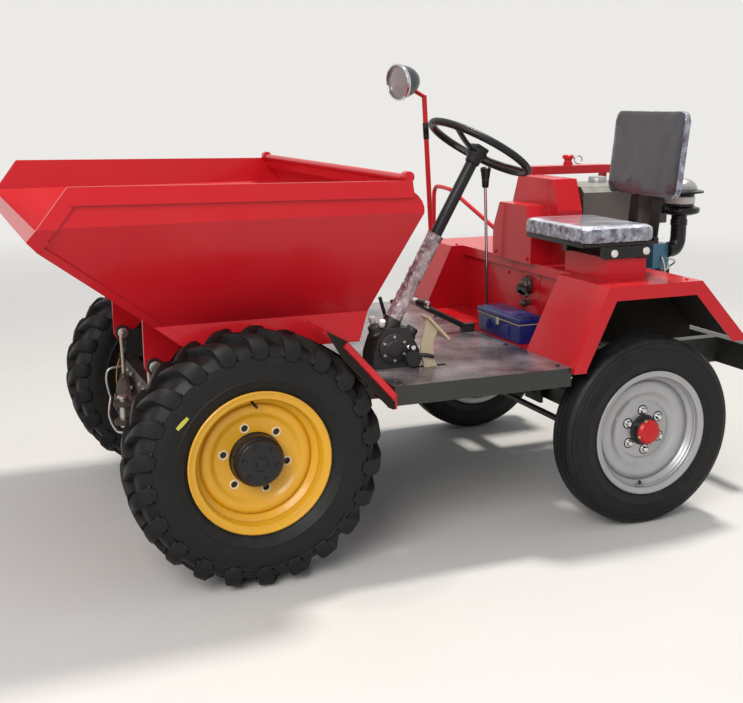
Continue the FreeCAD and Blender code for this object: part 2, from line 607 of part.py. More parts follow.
def skip_sections():
    """The skip's side profile (x, z) and its half cross-section (y, z), both outside."""
    top = SKIP_TOP_Z
    profile = [(-400.0, SKIP_BOTTOM_Z), (150.0, SKIP_BOTTOM_Z + 4.0), (LIP_REACH - 30.0, top - 180.0),
               (LIP_REACH, top - 146.0), (LIP_REACH - 112.0, top), (-473.0, top - 13.0), (-482.0, top - 47.0),
               (-498.0, top - 60.0), (-511.0, top - 76.0), (-519.0, top - 95.0), (-520.0, top - 114.0),
               (-433.0, SKIP_CREASE_Z)]
    half = [(SKIP_BOTTOM_HALF, SKIP_BOTTOM_Z), (SKIP_CREASE_HALF, SKIP_CREASE_Z), (SKIP_FOLD_HALF, SKIP_FOLD_Z),
            (SKIP_TOP_HALF, SKIP_TOP_Z)]
    return profile, half


def skip_outline(half, inset, top):
    """The whole cross-section, moved in by a wall's thickness and carried up and down past the skip."""
    low, crease, fold, high = offset_line(half, inset)
    fall = SKIP_OVERRUN / (crease[1] - low[1])
    foot = (low[0] + (low[0] - crease[0]) * fall, low[1] - SKIP_OVERRUN)
    climb = (top - high[1]) / (high[1] - fold[1])
    head = (high[0] + (high[0] - fold[0]) * climb, top)
    right = [foot, crease, fold, head]
    return right + [(-a, b) for a, b in right[::-1]]


def skip_ear(side, slope):
    """One hinge plate under the floor with the pin's eye at its lower end."""
    (x0, z0), (x1, z1) = slope
    rise = (z1 - z0) / (x1 - x0)
    front = PIVOT_X + PIVOT_EYE_R
    outline = [(x0 - 22.0, z0 + 1.0), (x0, z0 + 2.0), (front, z0 + (front - x0) * rise + 2.0), (front, PIVOT_Z + 6.0),
               (PIVOT_X + 6.0, PIVOT_Z - PIVOT_EYE_R + 1.0), (PIVOT_X - PIVOT_EYE_R, PIVOT_Z - 18.0)]
    y0 = side * EAR_CENTRE - EAR_SHEET / 2.0
    eye = Part.makeCylinder(PIVOT_EYE_R, EAR_SHEET, vec(PIVOT_X, y0, PIVOT_Z), Y_AXIS)
    return prism_y(outline, y0, y0 + EAR_SHEET).fuse(eye)


def make_skip():
    """The tipping skip: two folded sides, a back with a rolled top and a floor that rises to the lip."""
    profile, half = skip_sections()
    top = SKIP_TOP_Z + 200.0
    wide = SKIP_TOP_HALF + 150.0
    reach = LIP_REACH + 150.0
    outside = prism_y(profile, -wide, wide)
    span = prism_x(skip_outline(half, 0.0, top), -reach, reach)
    span_in = prism_x(skip_outline(half, SKIP_SHEET, top), -reach, reach)
    sides = outside.common(span).cut(span_in)
    # back, floor, slope and lip as one bent strip, split at the floor's rear fold
    mouth_way = vec(profile[4][0] - profile[3][0], 0, profile[4][1] - profile[3][1]).normalize()
    kerb = (profile[3][0] + mouth_way.x * LIP_KERB, profile[3][1] + mouth_way.z * LIP_KERB)
    strip_line = profile[5:] + profile[:4] + [kerb]
    strip = prism_y(band_between(strip_line, SKIP_SHEET), -wide, wide).common(span_in)
    fold = offset_line(strip_line, SKIP_SHEET)[len(profile) - 5]
    behind = prism_y([profile[0], (-reach, SKIP_BOTTOM_Z - 50.0), (-reach, top), (profile[0][0] + 150.0, top), fold],
                     -wide, wide)
    back = strip.common(behind)
    floor = strip.cut(behind)
    # bands round the top edge, the mouth and the slope's edge
    left_side = [s for s in sides.Solids if s.CenterOfMass.y > 0][0]
    front, rear = profile[4], profile[5]
    band = prism_y([rear, front, (front[0], front[1] - SKIP_BAND), (rear[0] - 8.0, rear[1] - SKIP_BAND)],
                   SKIP_TOP_HALF - 25.0, SKIP_TOP_HALF + SKIP_BAND_PROUD).cut(span_in)
    strips = []
    for line, breadth, proud in ((profile[2:5], MOUTH_BAND, SKIP_BAND_PROUD),
                                 (profile[1:3], SLOPE_BAND, SLOPE_BAND_PROUD)):
        thick = prism_x(skip_outline(half, -proud, top), -reach, reach).cut(span)
        edging = prism_y(band_between(line, breadth), 0, wide).common(thick).common(outside)
        strips.extend(edging.Solids)
    left_side = left_side.fuse([band] + strips)
    save("skip_side_left", left_side)
    save("skip_side_right", mirror_y(left_side))
    # the back's rolled top with its two end knobs
    bar_half = SKIP_TOP_HALF - 14.0
    roll_at = (rear[0] + 2.0, rear[1] + 5.0)
    roll = Part.makeCylinder(SKIP_ROLL_R, 2 * bar_half, vec(roll_at[0], -bar_half, roll_at[1]), Y_AXIS)
    knobs = []
    for y in (-bar_half, bar_half - 30.0):
        knobs.append(Part.makeCylinder(SKIP_ROLL_R + 5.0, 30.0, vec(roll_at[0], y, roll_at[1] + 4.0), Y_AXIS))
    save("skip_back", back.fuse([roll] + knobs))
    ears = [skip_ear(side, profile[1:3]) for side in (-1, 1)]
    floor = floor.fuse(ears)
    bore = Part.makeCylinder(PIVOT_PIN_R + RUN_GAP, 4 * EAR_CENTRE, vec(PIVOT_X, -2 * EAR_CENTRE, PIVOT_Z), Y_AXIS)
    save("skip_floor", floor.cut(bore))


def skip_underside(x):
    """The height of the skip's underside between its rear fold and its front fold."""
    profile, _ = skip_sections()
    (x0, z0), (x1, z1) = profile[0], profile[1]
    return z0 + (z1 - z0) * (x - x0) / (x1 - x0)


def make_deck():
    """The driver's plate with turned-down edges and a slot for the pedal."""
    w = DECK_HALF_WIDTH
    t = SHEET
    shape = block(DECK_REAR, DECK_FRONT, -w, w, RAIL_TOP, DECK_TOP)
    shape = shape.cut(block(DECK_REAR + t, DECK_FRONT - t, t - w, w - t, RAIL_TOP, DECK_TOP - t))
    for y0 in (-w, w - t):
        shape = shape.fuse(block(DECK_REAR, DECK_FRONT, y0, y0 + t, DECK_TOP - DECK_EDGE, DECK_TOP))
    slot = block(PEDAL_FOOT - 50.0, PEDAL_FOOT + 50.0, PEDAL_Y - 8.0, PEDAL_Y + PEDAL_SHEET + 8.0, RAIL_TOP, DECK_TOP)
    save("deck_plate", shape.cut(slot))


def fender_line():
    """The fender's side outline from its front foot over the top to its rear foot."""
    return [(DECK_REAR, DECK_TOP - 20.0), (DECK_REAR, DECK_TOP), (REAR_AXLE_X + FENDER_FRONT_OFFSET, FENDER_TOP),
            (REAR_AXLE_X + FENDER_BACK_OFFSET, FENDER_TOP), (REAR_AXLE_X + FENDER_FOOT_OFFSET, FENDER_FOOT_Z)]


def make_fender(side, inner, word):
    """A folded fender: slope, top, rear slope, outer band and inner wall."""
    line = fender_line()
    y0, y1 = inner, FENDER_OUTER
    skin = prism_y(band_between(line, SHEET), y0, y1)
    outer_band = prism_y(band_between(line, FENDER_BAND), y1 - SHEET, y1)
    inner_wall = prism_y(line, y0, y0 + SHEET)
    shape = skin.fuse([outer_band, inner_wall])
    shape = shape.cut(block(TAIL_X, REAR_AXLE_X, y0 - 50.0, y1 + 50.0, 0.0, FENDER_FOOT_Z))
    shape = shape.cut(block(REAR_AXLE_X, DECK_FRONT, y0 - 50.0, y1 + 50.0, 0.0, DECK_TOP - 20.0))
    if side < 0:
        shape = mirror_y(shape)
    save("fender_" + word, shape)


def make_body():
    """Floor between the fenders, bulkhead and shelf."""
    left, right = LEFT_FENDER_INNER, -RIGHT_FENDER_INNER
    floor = block(BULKHEAD_X, DECK_REAR, right, left, DECK_TOP - SHEET, DECK_TOP)
    for side in (-1, 1):
        y = side * (RAIL_INNER + RAIL_OUTER) / 2.0
        floor = floor.fuse(block(BULKHEAD_X, DECK_REAR, y - 15.0, y + 15.0, RAIL_TOP, DECK_TOP - SHEET))
    save("floor_panel", floor)
    wall = block(BULKHEAD_X - SHEET, BULKHEAD_X, right, left, DECK_TOP - SHEET, FENDER_TOP - SHEET)
    shelf = block(SHELF_REAR, SHELF_FRONT, right, left, FENDER_TOP - SHEET, FENDER_TOP)
    shelf = shelf.fuse(block(SHELF_FRONT - SHEET, SHELF_FRONT, right, left, FENDER_TOP - SHELF_LIP, FENDER_TOP))
    save("bulkhead", wall.fuse(shelf))


def hood_section(half, shoulder, top_half, rise, inset):
    """A hood's (y, z) outline with leaning upper sides, moved in by a sheet's thickness."""
    foot = FENDER_TOP
    line = [(-half, foot), (-half, foot + shoulder), (-top_half, foot + rise), (top_half, foot + rise),
            (half, foot + shoulder), (half, foot)]
    return offset_line(line, -inset)


def make_hood():
    """The hood on the shelf: a narrow nose before a wider block, one sheet shell open behind and below."""
    nose = prism_x(hood_section(*HOOD_NOSE, 0.0), HOOD_STEP, HOOD_FRONT)
    nose_in = prism_x(hood_section(*HOOD_NOSE, SHEET), HOOD_STEP - 2 * SHEET, HOOD_FRONT - SHEET)
    main = prism_x(hood_section(*HOOD_MAIN, 0.0), HOOD_REAR, HOOD_STEP)
    main_in = prism_x(hood_section(*HOOD_MAIN, SHEET), HOOD_REAR - SHEET, HOOD_STEP - SHEET)
    save("hood", nose.fuse(main).cut([nose_in, main_in]))


def past_tread(angle, gap):
    """A point (x, z) behind the front axle at an angle over the level and a gap past the tread."""
    reach = FRONT_TYRE_RADIUS + gap
    return (-reach * math.cos(math.radians(angle)), FRONT_TYRE_RADIUS + reach * math.sin(math.radians(angle)))


def make_mudguards():
    """Leaning guards between the deck and the front tyres."""
    line = [(DECK_FRONT, GUARD_FOOT_Z), (DECK_FRONT, DECK_TOP - 20.0), past_tread(*GUARD_BEND),
            past_tread(*GUARD_TIP)]
    skin = prism_y(band_between(line, -SHEET), MUDGUARD_INNER, FENDER_OUTER)
    band = prism_y(line + [past_tread(*GUARD_UNDER), (DECK_FRONT + 29.0, GUARD_FOOT_Z + 8.0),
                           (DECK_FRONT + 12.0, GUARD_FOOT_Z)], FENDER_OUTER - SHEET, FENDER_OUTER)
    left = skin.fuse(band)
    save("mudguard_left", left)
    save("mudguard_right", mirror_y(left))


def make_engine():
    """The open single-cylinder engine behind the hood, on its two bearers."""
    x = ENGINE_X
    z = FLYWHEEL_Z
    seat = RAIL_TOP - RAIL_SHEET
    rear = x - 250.0
    crankcase = prism_y([(x + 120.0, seat), (x - 200.0, seat), (x - 200.0, z + 38.0), (x - 140.0, z + 118.0),
                         (x + 80.0, z + 118.0), (x + 120.0, z + 78.0)], -150.0, 140.0)
    housing = block(x - 190.0, x - 120.0, 140.0, 250.0, z + 73.0, z + 168.0)
    cover = Part.makeCylinder(86.0, 16.0, vec(x - 40.0, 140.0, z), Y_AXIS)
    boss = Part.makeCylinder(34.0, 34.0, vec(x - 40.0, 140.0, z), Y_AXIS)
    sump = block(x - 190.0, x - 110.0, 140.0, 156.0, z - 172.0, z - 72.0)
    save("engine_block", crankcase.fuse([housing, cover, boss, sump]))
    head = block(x - 300.0, x - 200.0, -110.0, 110.0, z - 122.0, z + 88.0)
    rocker = block(x - 330.0, x - 300.0, -80.0, 80.0, z - 92.0, z + 48.0)
    fins = []
    for index in range(4):
        start = x - 292.0 + 22.0 * index
        fins.append(block(start, start + 8.0, -122.0, 122.0, z - 130.0, z + 96.0))
    save("cylinder_head", head.fuse([rocker] + fins))
    hub = vec(x - 40.0, -156.0, z)
    wheel = [(30, 0), (200, 0), (200, 60), (165, 60), (165, 18), (70, 18), (70, 100), (30, 100)]
    fly = ring(wheel, hub, -1)
    fly = fly.fuse(rod(hub + Y_AXIS * 6.0, hub - Y_AXIS * 106.0, 30.0))
    save("flywheel", fly)
    low = z + 138.0
    tank = prism_x([(-150.0, low), (-150.0, TANK_TOP - 22.0), (-128.0, TANK_TOP), (128.0, TANK_TOP),
                    (150.0, TANK_TOP - 22.0), (150.0, low)], rear, x + 138.0)
    tank = tank.cut(block(rear - 10.0, x - 100.0, -160.0, 160.0, low - 10.0, low + 100.0))
    cap = Part.makeCylinder(34.0, 22.0, vec(x - 60.0, -60.0, TANK_TOP), Z_AXIS)
    feet = [block(x + 40.0, x + 80.0, y - 15.0, y + 15.0, z + 118.0, low) for y in (-110.0, 100.0)]
    save("fuel_tank", tank.fuse([cap] + feet))
    intake = vec(rear + 13.0, 245.0, CLEANER_Z + 2.0)
    bowl = [(0, 0), (32, 0), (70, 8), (76, 14), (76, 30), (54, 36), (54, 84), (88, 88), (88, 96), (62, 100), (60, 112),
            (44, 132), (20, 142), (0, 144)]
    points = [vec(intake.x + r, intake.y, intake.z + h) for r, h in bowl + bowl[:1]]
    cleaner = Part.Face(Part.makePolygon(points)).revolve(intake, Z_AXIS, 360)
    drop = vec(0, 0, intake.z - (z + 143.0))
    elbow = pipe([intake + Z_AXIS, intake - drop, intake - drop + vec(47.0, 0, 0)], 30.0, 40.0)
    save("air_cleaner", cleaner.fuse(elbow))
    muffler = rod(vec(x - 296.0, -70.0, low), vec(x - 296.0, -70.0, z + 328.0), 36.0)
    stub = rod(vec(x - 296.0, -70.0, z + 96.0), vec(x - 296.0, -70.0, z + 398.0), 16.0)
    save("exhaust", muffler.fuse(stub))
    posts = [block(x0, x0 + 25.0, -305.0, -280.0, RAIL_TOP, GUARD_RAIL_Z) for x0 in (rear, x + 110.0)]
    plate = block(rear, x + 135.0, -330.0, -250.0, GUARD_RAIL_Z, GUARD_RAIL_Z + 6.0)
    skirt = block(rear, x + 135.0, -256.0, -250.0, GUARD_RAIL_Z - 28.0, GUARD_RAIL_Z)
    save("engine_guard", plate.fuse(posts + [skirt]))


def make_drive_line():
    """The gearbox hung between the rails and the shaft to the front axle's nose."""
    x0, x1 = GEARBOX_REAR, GEARBOX_REAR + GEARBOX_LENGTH
    z = GEARBOX_Z
    case = prism_y([(x0, z - 70.0), (x0, z + 60.0), (x0 + 40.0, z + 85.0), (x1 - 50.0, z + 85.0), (x1, z + 40.0),
                    (x1, z - 45.0), (x1 - 45.0, z - 85.0), (x0 + 30.0, z - 85.0)], -95.0, 95.0)
    reach = RAIL_OUTER - RAIL_SHEET
    cross = block(x0 + 60.0, x0 + 120.0, -reach, reach, RAIL_BOTTOM + RAIL_SHEET, RAIL_BOTTOM + 40.0)
    nose = Part.makeCylinder(52.0, 40.0, vec(x1 - 5.0, 0, z), X_AXIS)
    side_cover = Part.makeCylinder(60.0, 16.0, vec(x0 + 90.0, 95.0, z - 15.0), Y_AXIS)
    save("gearbox", case.fuse([cross, nose, side_cover]))
    start = vec(x1 + 35.0, 0, z)
    end = vec(-AXLE_NOSE, 0, FRONT_TYRE_RADIUS)
    way = (end - start).normalize()
    shaft = rod(start, end, SHAFT_R)
    yokes = [rod(start, start + way * 70.0, 36.0), rod(end - way * 70.0, end, 36.0)]
    limit = block(start.x, end.x, -60.0, 60.0, FRONT_TYRE_RADIUS - 100.0, DECK_TOP)
    save("propeller_shaft", shaft.fuse(yokes).common(limit))


def make_seat():
    """Seat stand, pan, cushion, back and bracket."""
    rear, front = SEAT_X - 80.0, SEAT_X + 80.0
    stand = block(rear, front, 320.0, SEAT_NEAR, FENDER_TOP, STAND_TOP)
    inside = block(rear + SHEET, front - SHEET, 320.0 + SHEET, SEAT_NEAR - SHEET, FENDER_TOP, STAND_TOP - SHEET)
    save("seat_stand", stand.cut(inside))
    pan_z = CUSHION_Z - 14.0
    pan = block(SEAT_X - 95.0, SEAT_X + 185.0, SEAT_Y - 190.0, SEAT_Y + 190.0, pan_z, CUSHION_Z)
    channels = [block(rear, front + 20.0, y - 25.0, y, STAND_TOP, pan_z) for y in (SEAT_NEAR + 10.0, 360.0)]
    save("seat_pan", pan.fuse(channels))
    cushion = block(SEAT_X - 110.0, SEAT_X + 203.0, SEAT_Y - 219.0, SEAT_Y + 219.0, CUSHION_Z + REST_GAP, CUSHION_TOP)
    save("seat_cushion", cushion)
    foot = (BACK_FOOT[0] - BACK_THICK, BACK_FOOT[1] - 3.0)
    head = (BACK_HEAD[0] - BACK_THICK, BACK_HEAD[1] - 3.0)
    back = prism_y([BACK_FOOT, BACK_HEAD, head, foot], SEAT_Y - 220.0, SEAT_Y + 220.0)
    lean = (head[0] - foot[0]) / (head[1] - foot[1])
    straps = []
    for y in (SEAT_Y - 90.0, SEAT_Y + 40.0):
        line = [(SEAT_X - 95.0, pan_z + 4.0), (foot[0] + lean * (pan_z + 4.0 - foot[1]) - REST_GAP, pan_z + 4.0),
                (foot[0] + lean * 180.0 - REST_GAP, foot[1] + 180.0)]
        straps.append(prism_y(band_between(line, STRAP_SHEET), y, y + 50.0))
    save("seat_bracket", Part.makeCompound(straps))
    save("seat_back", back)


def make_steering():
    """Steering box, column tube and wheel."""
    foot = vec(COLUMN_FOOT[0], COLUMN_Y, COLUMN_FOOT[1])
    top = vec(WHEEL_CENTRE[0], COLUMN_Y, WHEEL_CENTRE[1])
    way = (top - foot).normalize()
    side = [(-75.0, 0.0), (93.0, 0.0), (91.0, 48.0), (73.0, 100.0), (47.0, 135.0), (-35.0, 135.0), (-57.0, 90.0),
            (-75.0, 55.0)]
    case = prism_y([(foot.x + a, DECK_TOP + b) for a, b in side], COLUMN_Y - 50.0, COLUMN_Y + 50.0)
    neck = rod(foot - way * 110.0, foot, 31.0)
    boss = Part.makeCylinder(26.0, 36.0, vec(foot.x - 41.0, COLUMN_Y + 49.0, DECK_TOP + 32.0), Y_AXIS)
    below = block(foot.x - 150.0, foot.x + 150.0, COLUMN_Y - 100.0, COLUMN_Y + 100.0, RAIL_BOTTOM, DECK_TOP)
    save("steering_box", case.fuse([neck, boss]).cut(below))
    tube_end = top - way * HUB_DEPTH
    column = rod(foot, tube_end, COLUMN_R).cut(rod(tube_end - way * 120.0, tube_end, SHAFT_END_R + RUN_GAP))
    save("steering_column", column)
    rim_way = vec(-way.z, 0, way.x)
    torus = Part.makeTorus(STEERING_WHEEL_R - STEERING_RIM_R, STEERING_RIM_R, top, way)
    hub = rod(tube_end + way * 1.0, tube_end + way * 42.0, HUB_R)
    shaft = rod(tube_end - way * 110.0, tube_end + way * 30.0, SHAFT_END_R)
    spokes = []
    for angle in (90.0, 210.0, 330.0):
        a = math.radians(angle)
        out = rim_way * math.sin(a) + Y_AXIS * math.cos(a)
        spokes.append(rod(tube_end + way * 28.0, top + out * (STEERING_WHEEL_R - STEERING_RIM_R), 9.0))
    save("steering_wheel", torus.fuse([hub, shaft] + spokes))


def make_controls():
    """Levers, pedal, knob and tool box."""
    foot = vec(GEAR_X, GEAR_Y, DECK_TOP)
    grip_foot = foot + vec(20.0, 3.0, GEAR_HEIGHT)
    gear = rod(foot + Z_AXIS * 20.0, grip_foot + Z_AXIS * 6.0, 6.0)
    boot = Part.makeCone(28.0, 11.0, 60.0, foot, Z_AXIS)
    knob = Part.makeCone(12.0, 20.0, GEAR_KNOB, grip_foot, Z_AXIS)
    save("gear_lever", gear.fuse([boot, knob]))
    pivot = vec(DECK_REAR + 45.0, 20.0, DECK_TOP + 15.0)
    end = pivot + vec(LEVER_REACH, 25.0, LEVER_RISE)
    stub = block(pivot.x - 25.0, pivot.x + 25.0, pivot.y - 14.0, pivot.y + 14.0, DECK_TOP, pivot.z + 17.0)
    grip = rod(end, end + vec(-22.0, 98.0, 0.0), 13.0)
    save("hand_lever", rod(pivot, end, 11.0).fuse([stub, grip]))
    # offsets from the slot's middle in the deck's top
    arm_side = [(10.0, -44.0), (30.0, 0.0), (41.0, 40.0), (43.0, 75.0), (33.0, 112.0), (21.0, 163.0), (-20.0, 122.0),
                (-5.0, 90.0), (-2.0, 55.0), (-10.0, 15.0), (-30.0, -25.0)]
    pad_side = [(30.0, 170.0), (-46.0, 90.0), (-52.0, 96.0), (24.0, 176.0)]
    arm = prism_y([(PEDAL_FOOT + a, DECK_TOP + b) for a, b in arm_side], PEDAL_Y, PEDAL_Y + PEDAL_SHEET)
    pad = prism_y([(PEDAL_FOOT + a, DECK_TOP + b) for a, b in pad_side], PEDAL_Y - 30.0,
                  PEDAL_Y + PEDAL_SHEET + 30.0)
    hub = vec(PEDAL_FOOT - 10.0, PEDAL_Y - 40.0, DECK_TOP - 34.0)
    shaft = rod(hub, hub + Y_AXIS * 90.0, 8.0)
    lugs = [block(hub.x - 8.0, hub.x + 8.0, y, y + 8.0, hub.z, DECK_TOP - SHEET) for y in (hub.y, hub.y + 82.0)]
    save("foot_pedal", arm.fuse([pad, shaft] + lugs))
    root = vec(BULKHEAD_X, KNOB_Y, KNOB_Z)
    knob = rod(root, root + X_AXIS * 20.0, 32.0)
    stem = rod(root + X_AXIS * 18.0, root + X_AXIS * 48.0, 9.0)
    wing = block(root.x + 40.0, root.x + 50.0, root.y - 10.0, root.y + 62.0, root.z - 28.0, root.z - 4.0)
    save("throttle_control", knob.fuse([stem, wing]))
    x0, x1 = BULKHEAD_X + BOX_SETBACK, BULKHEAD_X + BOX_SETBACK + BOX_DEPTH
    y0, y1 = -8.0, BOX_LENGTH - 8.0
    seam = DECK_TOP + BOX_HEIGHT - BOX_LID
    base = block(x0 + 4.0, x1 - 4.0, y0 + 4.0, y1 - 4.0, DECK_TOP, seam)
    save("tool_box", base.fuse(block(x0, x1, y0, y1, seam, DECK_TOP + BOX_HEIGHT)))


def make_lamp():
    """Hand rail, lamp post, lamp bowl and its lens."""
    x = POST_X + 4.0
    y = LAMP_INSET - FENDER_OUTER
    top = FENDER_TOP + RAIL_HEIGHT
    side = HOOD_NOSE[0]
    points = [vec(x, y, FENDER_TOP), vec(x, y, top), vec(x, y + 85.0, top), vec(x, y + 165.0, top - 5.0),
              vec(x - 74.0, -side - 50.0, top - 152.0), vec(x - 74.0, -side, top - 152.0)]
    save("hand_rail", pipe(points, 9.0, 40.0))
    look = vec(0.95, 0.25, -0.1).normalize()
    turn = FreeCAD.Placement(LAMP_CENTRE, FreeCAD.Rotation(Z_AXIS, look))
    r = LAMP_R
    bowl = [(0, -98), (24, -96), (48, -74), (r - 11, -34), (r - 4, -4), (r, -4), (r, 12), (r - 7, 12), (r - 7, 0),
            (0, -6)]
    points = [vec(a, 0, h) for a, h in bowl + bowl[:1]]
    lamp = Part.Face(Part.makePolygon(points)).revolve(vec(0, 0, 0), Z_AXIS, 360)
    lamp.Placement = turn
    save("headlamp", lamp)
    dome = [(0, REST_GAP - 6.0), (r - 8.0, REST_GAP), (r - 8.0, 8.0), (r - 31.0, 14.0), (0, 18.0)]
    points = [vec(a, 0, h) for a, h in dome + dome[:1]]
    lens = Part.Face(Part.makePolygon(points)).revolve(vec(0, 0, 0), Z_AXIS, 360)
    lens.Placement = turn
    save("lamp_lens", lens)
    foot = block(POST_X - 20.0, POST_X + 14.0, POST_Y - 17.0, POST_Y + 18.0, FENDER_TOP, FENDER_TOP + 8.0)
    post_top = vec(POST_X + 40.0, POST_Y, FENDER_TOP + POST_HEIGHT)
    post = rod(vec(POST_X, POST_Y, FENDER_TOP + 2.0), post_top, 11.0)
    stem = rod(post_top - Z_AXIS * 6.0, LAMP_CENTRE - look * 60.0 - Z_AXIS * 30.0, 9.0)
    post = post.cut(block(POST_X - 80.0, POST_X + 80.0, POST_Y - 80.0, POST_Y + 80.0, DECK_TOP, FENDER_TOP))
    save("lamp_post", post.fuse([foot, stem]).cut(lamp))


make_rails()
make_cross_beams()
make_hinge_posts()
make_tow_jaw()
make_front_axle()
make_rear_axle()
make_axle_bracket()
make_knuckles()
make_tie_rod()
make_wheels()
make_skip()
make_deck()
make_fender(1, LEFT_FENDER_INNER, "left")
make_fender(-1, RIGHT_FENDER_INNER, "right")
make_body()
make_hood()
make_mudguards()
make_engine()
make_drive_line()
make_seat()
make_steering()
make_controls()
make_lamp()
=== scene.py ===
"""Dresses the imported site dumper: its finishes, tyres, wheels, seat, controls and open engine."""
import json
import logging
import math
from collections.abc import Callable, Iterable, Sequence
from dataclasses import dataclass
from enum import Enum

import bmesh
import bpy
import mathutils
from mathutils import Matrix, Vector


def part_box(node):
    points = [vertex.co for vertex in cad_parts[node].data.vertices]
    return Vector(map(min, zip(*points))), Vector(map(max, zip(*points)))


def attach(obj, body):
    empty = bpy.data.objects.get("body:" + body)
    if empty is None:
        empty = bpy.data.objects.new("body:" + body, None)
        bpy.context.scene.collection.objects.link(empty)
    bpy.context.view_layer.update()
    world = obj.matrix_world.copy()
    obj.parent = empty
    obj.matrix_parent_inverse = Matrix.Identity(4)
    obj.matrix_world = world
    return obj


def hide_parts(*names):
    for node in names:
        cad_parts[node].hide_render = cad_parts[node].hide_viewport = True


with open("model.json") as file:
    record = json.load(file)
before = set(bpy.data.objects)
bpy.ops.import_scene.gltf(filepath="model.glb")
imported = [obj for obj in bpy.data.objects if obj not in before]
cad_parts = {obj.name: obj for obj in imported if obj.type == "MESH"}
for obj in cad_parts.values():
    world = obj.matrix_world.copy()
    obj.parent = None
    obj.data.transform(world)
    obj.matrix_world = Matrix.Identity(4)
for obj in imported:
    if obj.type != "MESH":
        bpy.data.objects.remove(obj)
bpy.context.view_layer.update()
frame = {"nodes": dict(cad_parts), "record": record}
LOG = logging.getLogger("site_dumper")

Point = tuple[float, float, float]
Profile = Sequence[tuple[float, float]]
Colour = tuple[float, float, float]
Mesh = bpy.types.Mesh
Object = bpy.types.Object
Shape = bmesh.types.BMesh
Socket = bpy.types.NodeSocket
Tree = bpy.types.NodeTree

ORIGIN = Vector((0, 0, 0))
FRONT, LEFT, UP = Vector((1, 0, 0)), Vector((0, 1, 0)), Vector((0, 0, 1))

# Tolerances in metres: doubles of a finished mesh, doubles of a turned outline and faces without area
MERGE, TOUCH, SLIVER = 1e-5, 1e-6, 1e-7

# Features per metre of the broad and the fine noise of every finish
PATCH_SCALE, SPOT_SCALE = 3.1, 23.0
COAT_ROUGH = 0.08
WEAR_REACH = 0.004
BEVEL_SAMPLES = 4

# The front axle, read from the frame
FRONT_LOW, FRONT_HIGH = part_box("front_tyre_left")
FRONT_AXLE = (FRONT_LOW + FRONT_HIGH) / 2


def station(x: float, y: float, z: float) -> Vector:
    """A point given from the front axle's ground line, as a point of the frame."""
    return Vector((x + FRONT_AXLE.x, y, z))


class Body(str, Enum):
    """The rigid bodies that the pieces ride on."""

    CHASSIS = "chassis"
    SKIP = "skip"
    STEERING = "steering"


class Slot(str, Enum):
    """The record's material slots."""

    RED = "red_paint"
    DARK = "dark_paint"
    IRON = "raw_iron"
    YELLOW = "yellow_paint"
    SILVER = "silver_paint"
    TYRE = "tyre"
    BLUE = "engine_blue"
    GREY = "tank_grey"
    VINYL = "seat_vinyl"
    BLACK = "black_plastic"
    PALE = "pale_paint"
    BOX = "blue_plastic"
    CHROME = "chrome"
    GLASS = "lamp_glass"


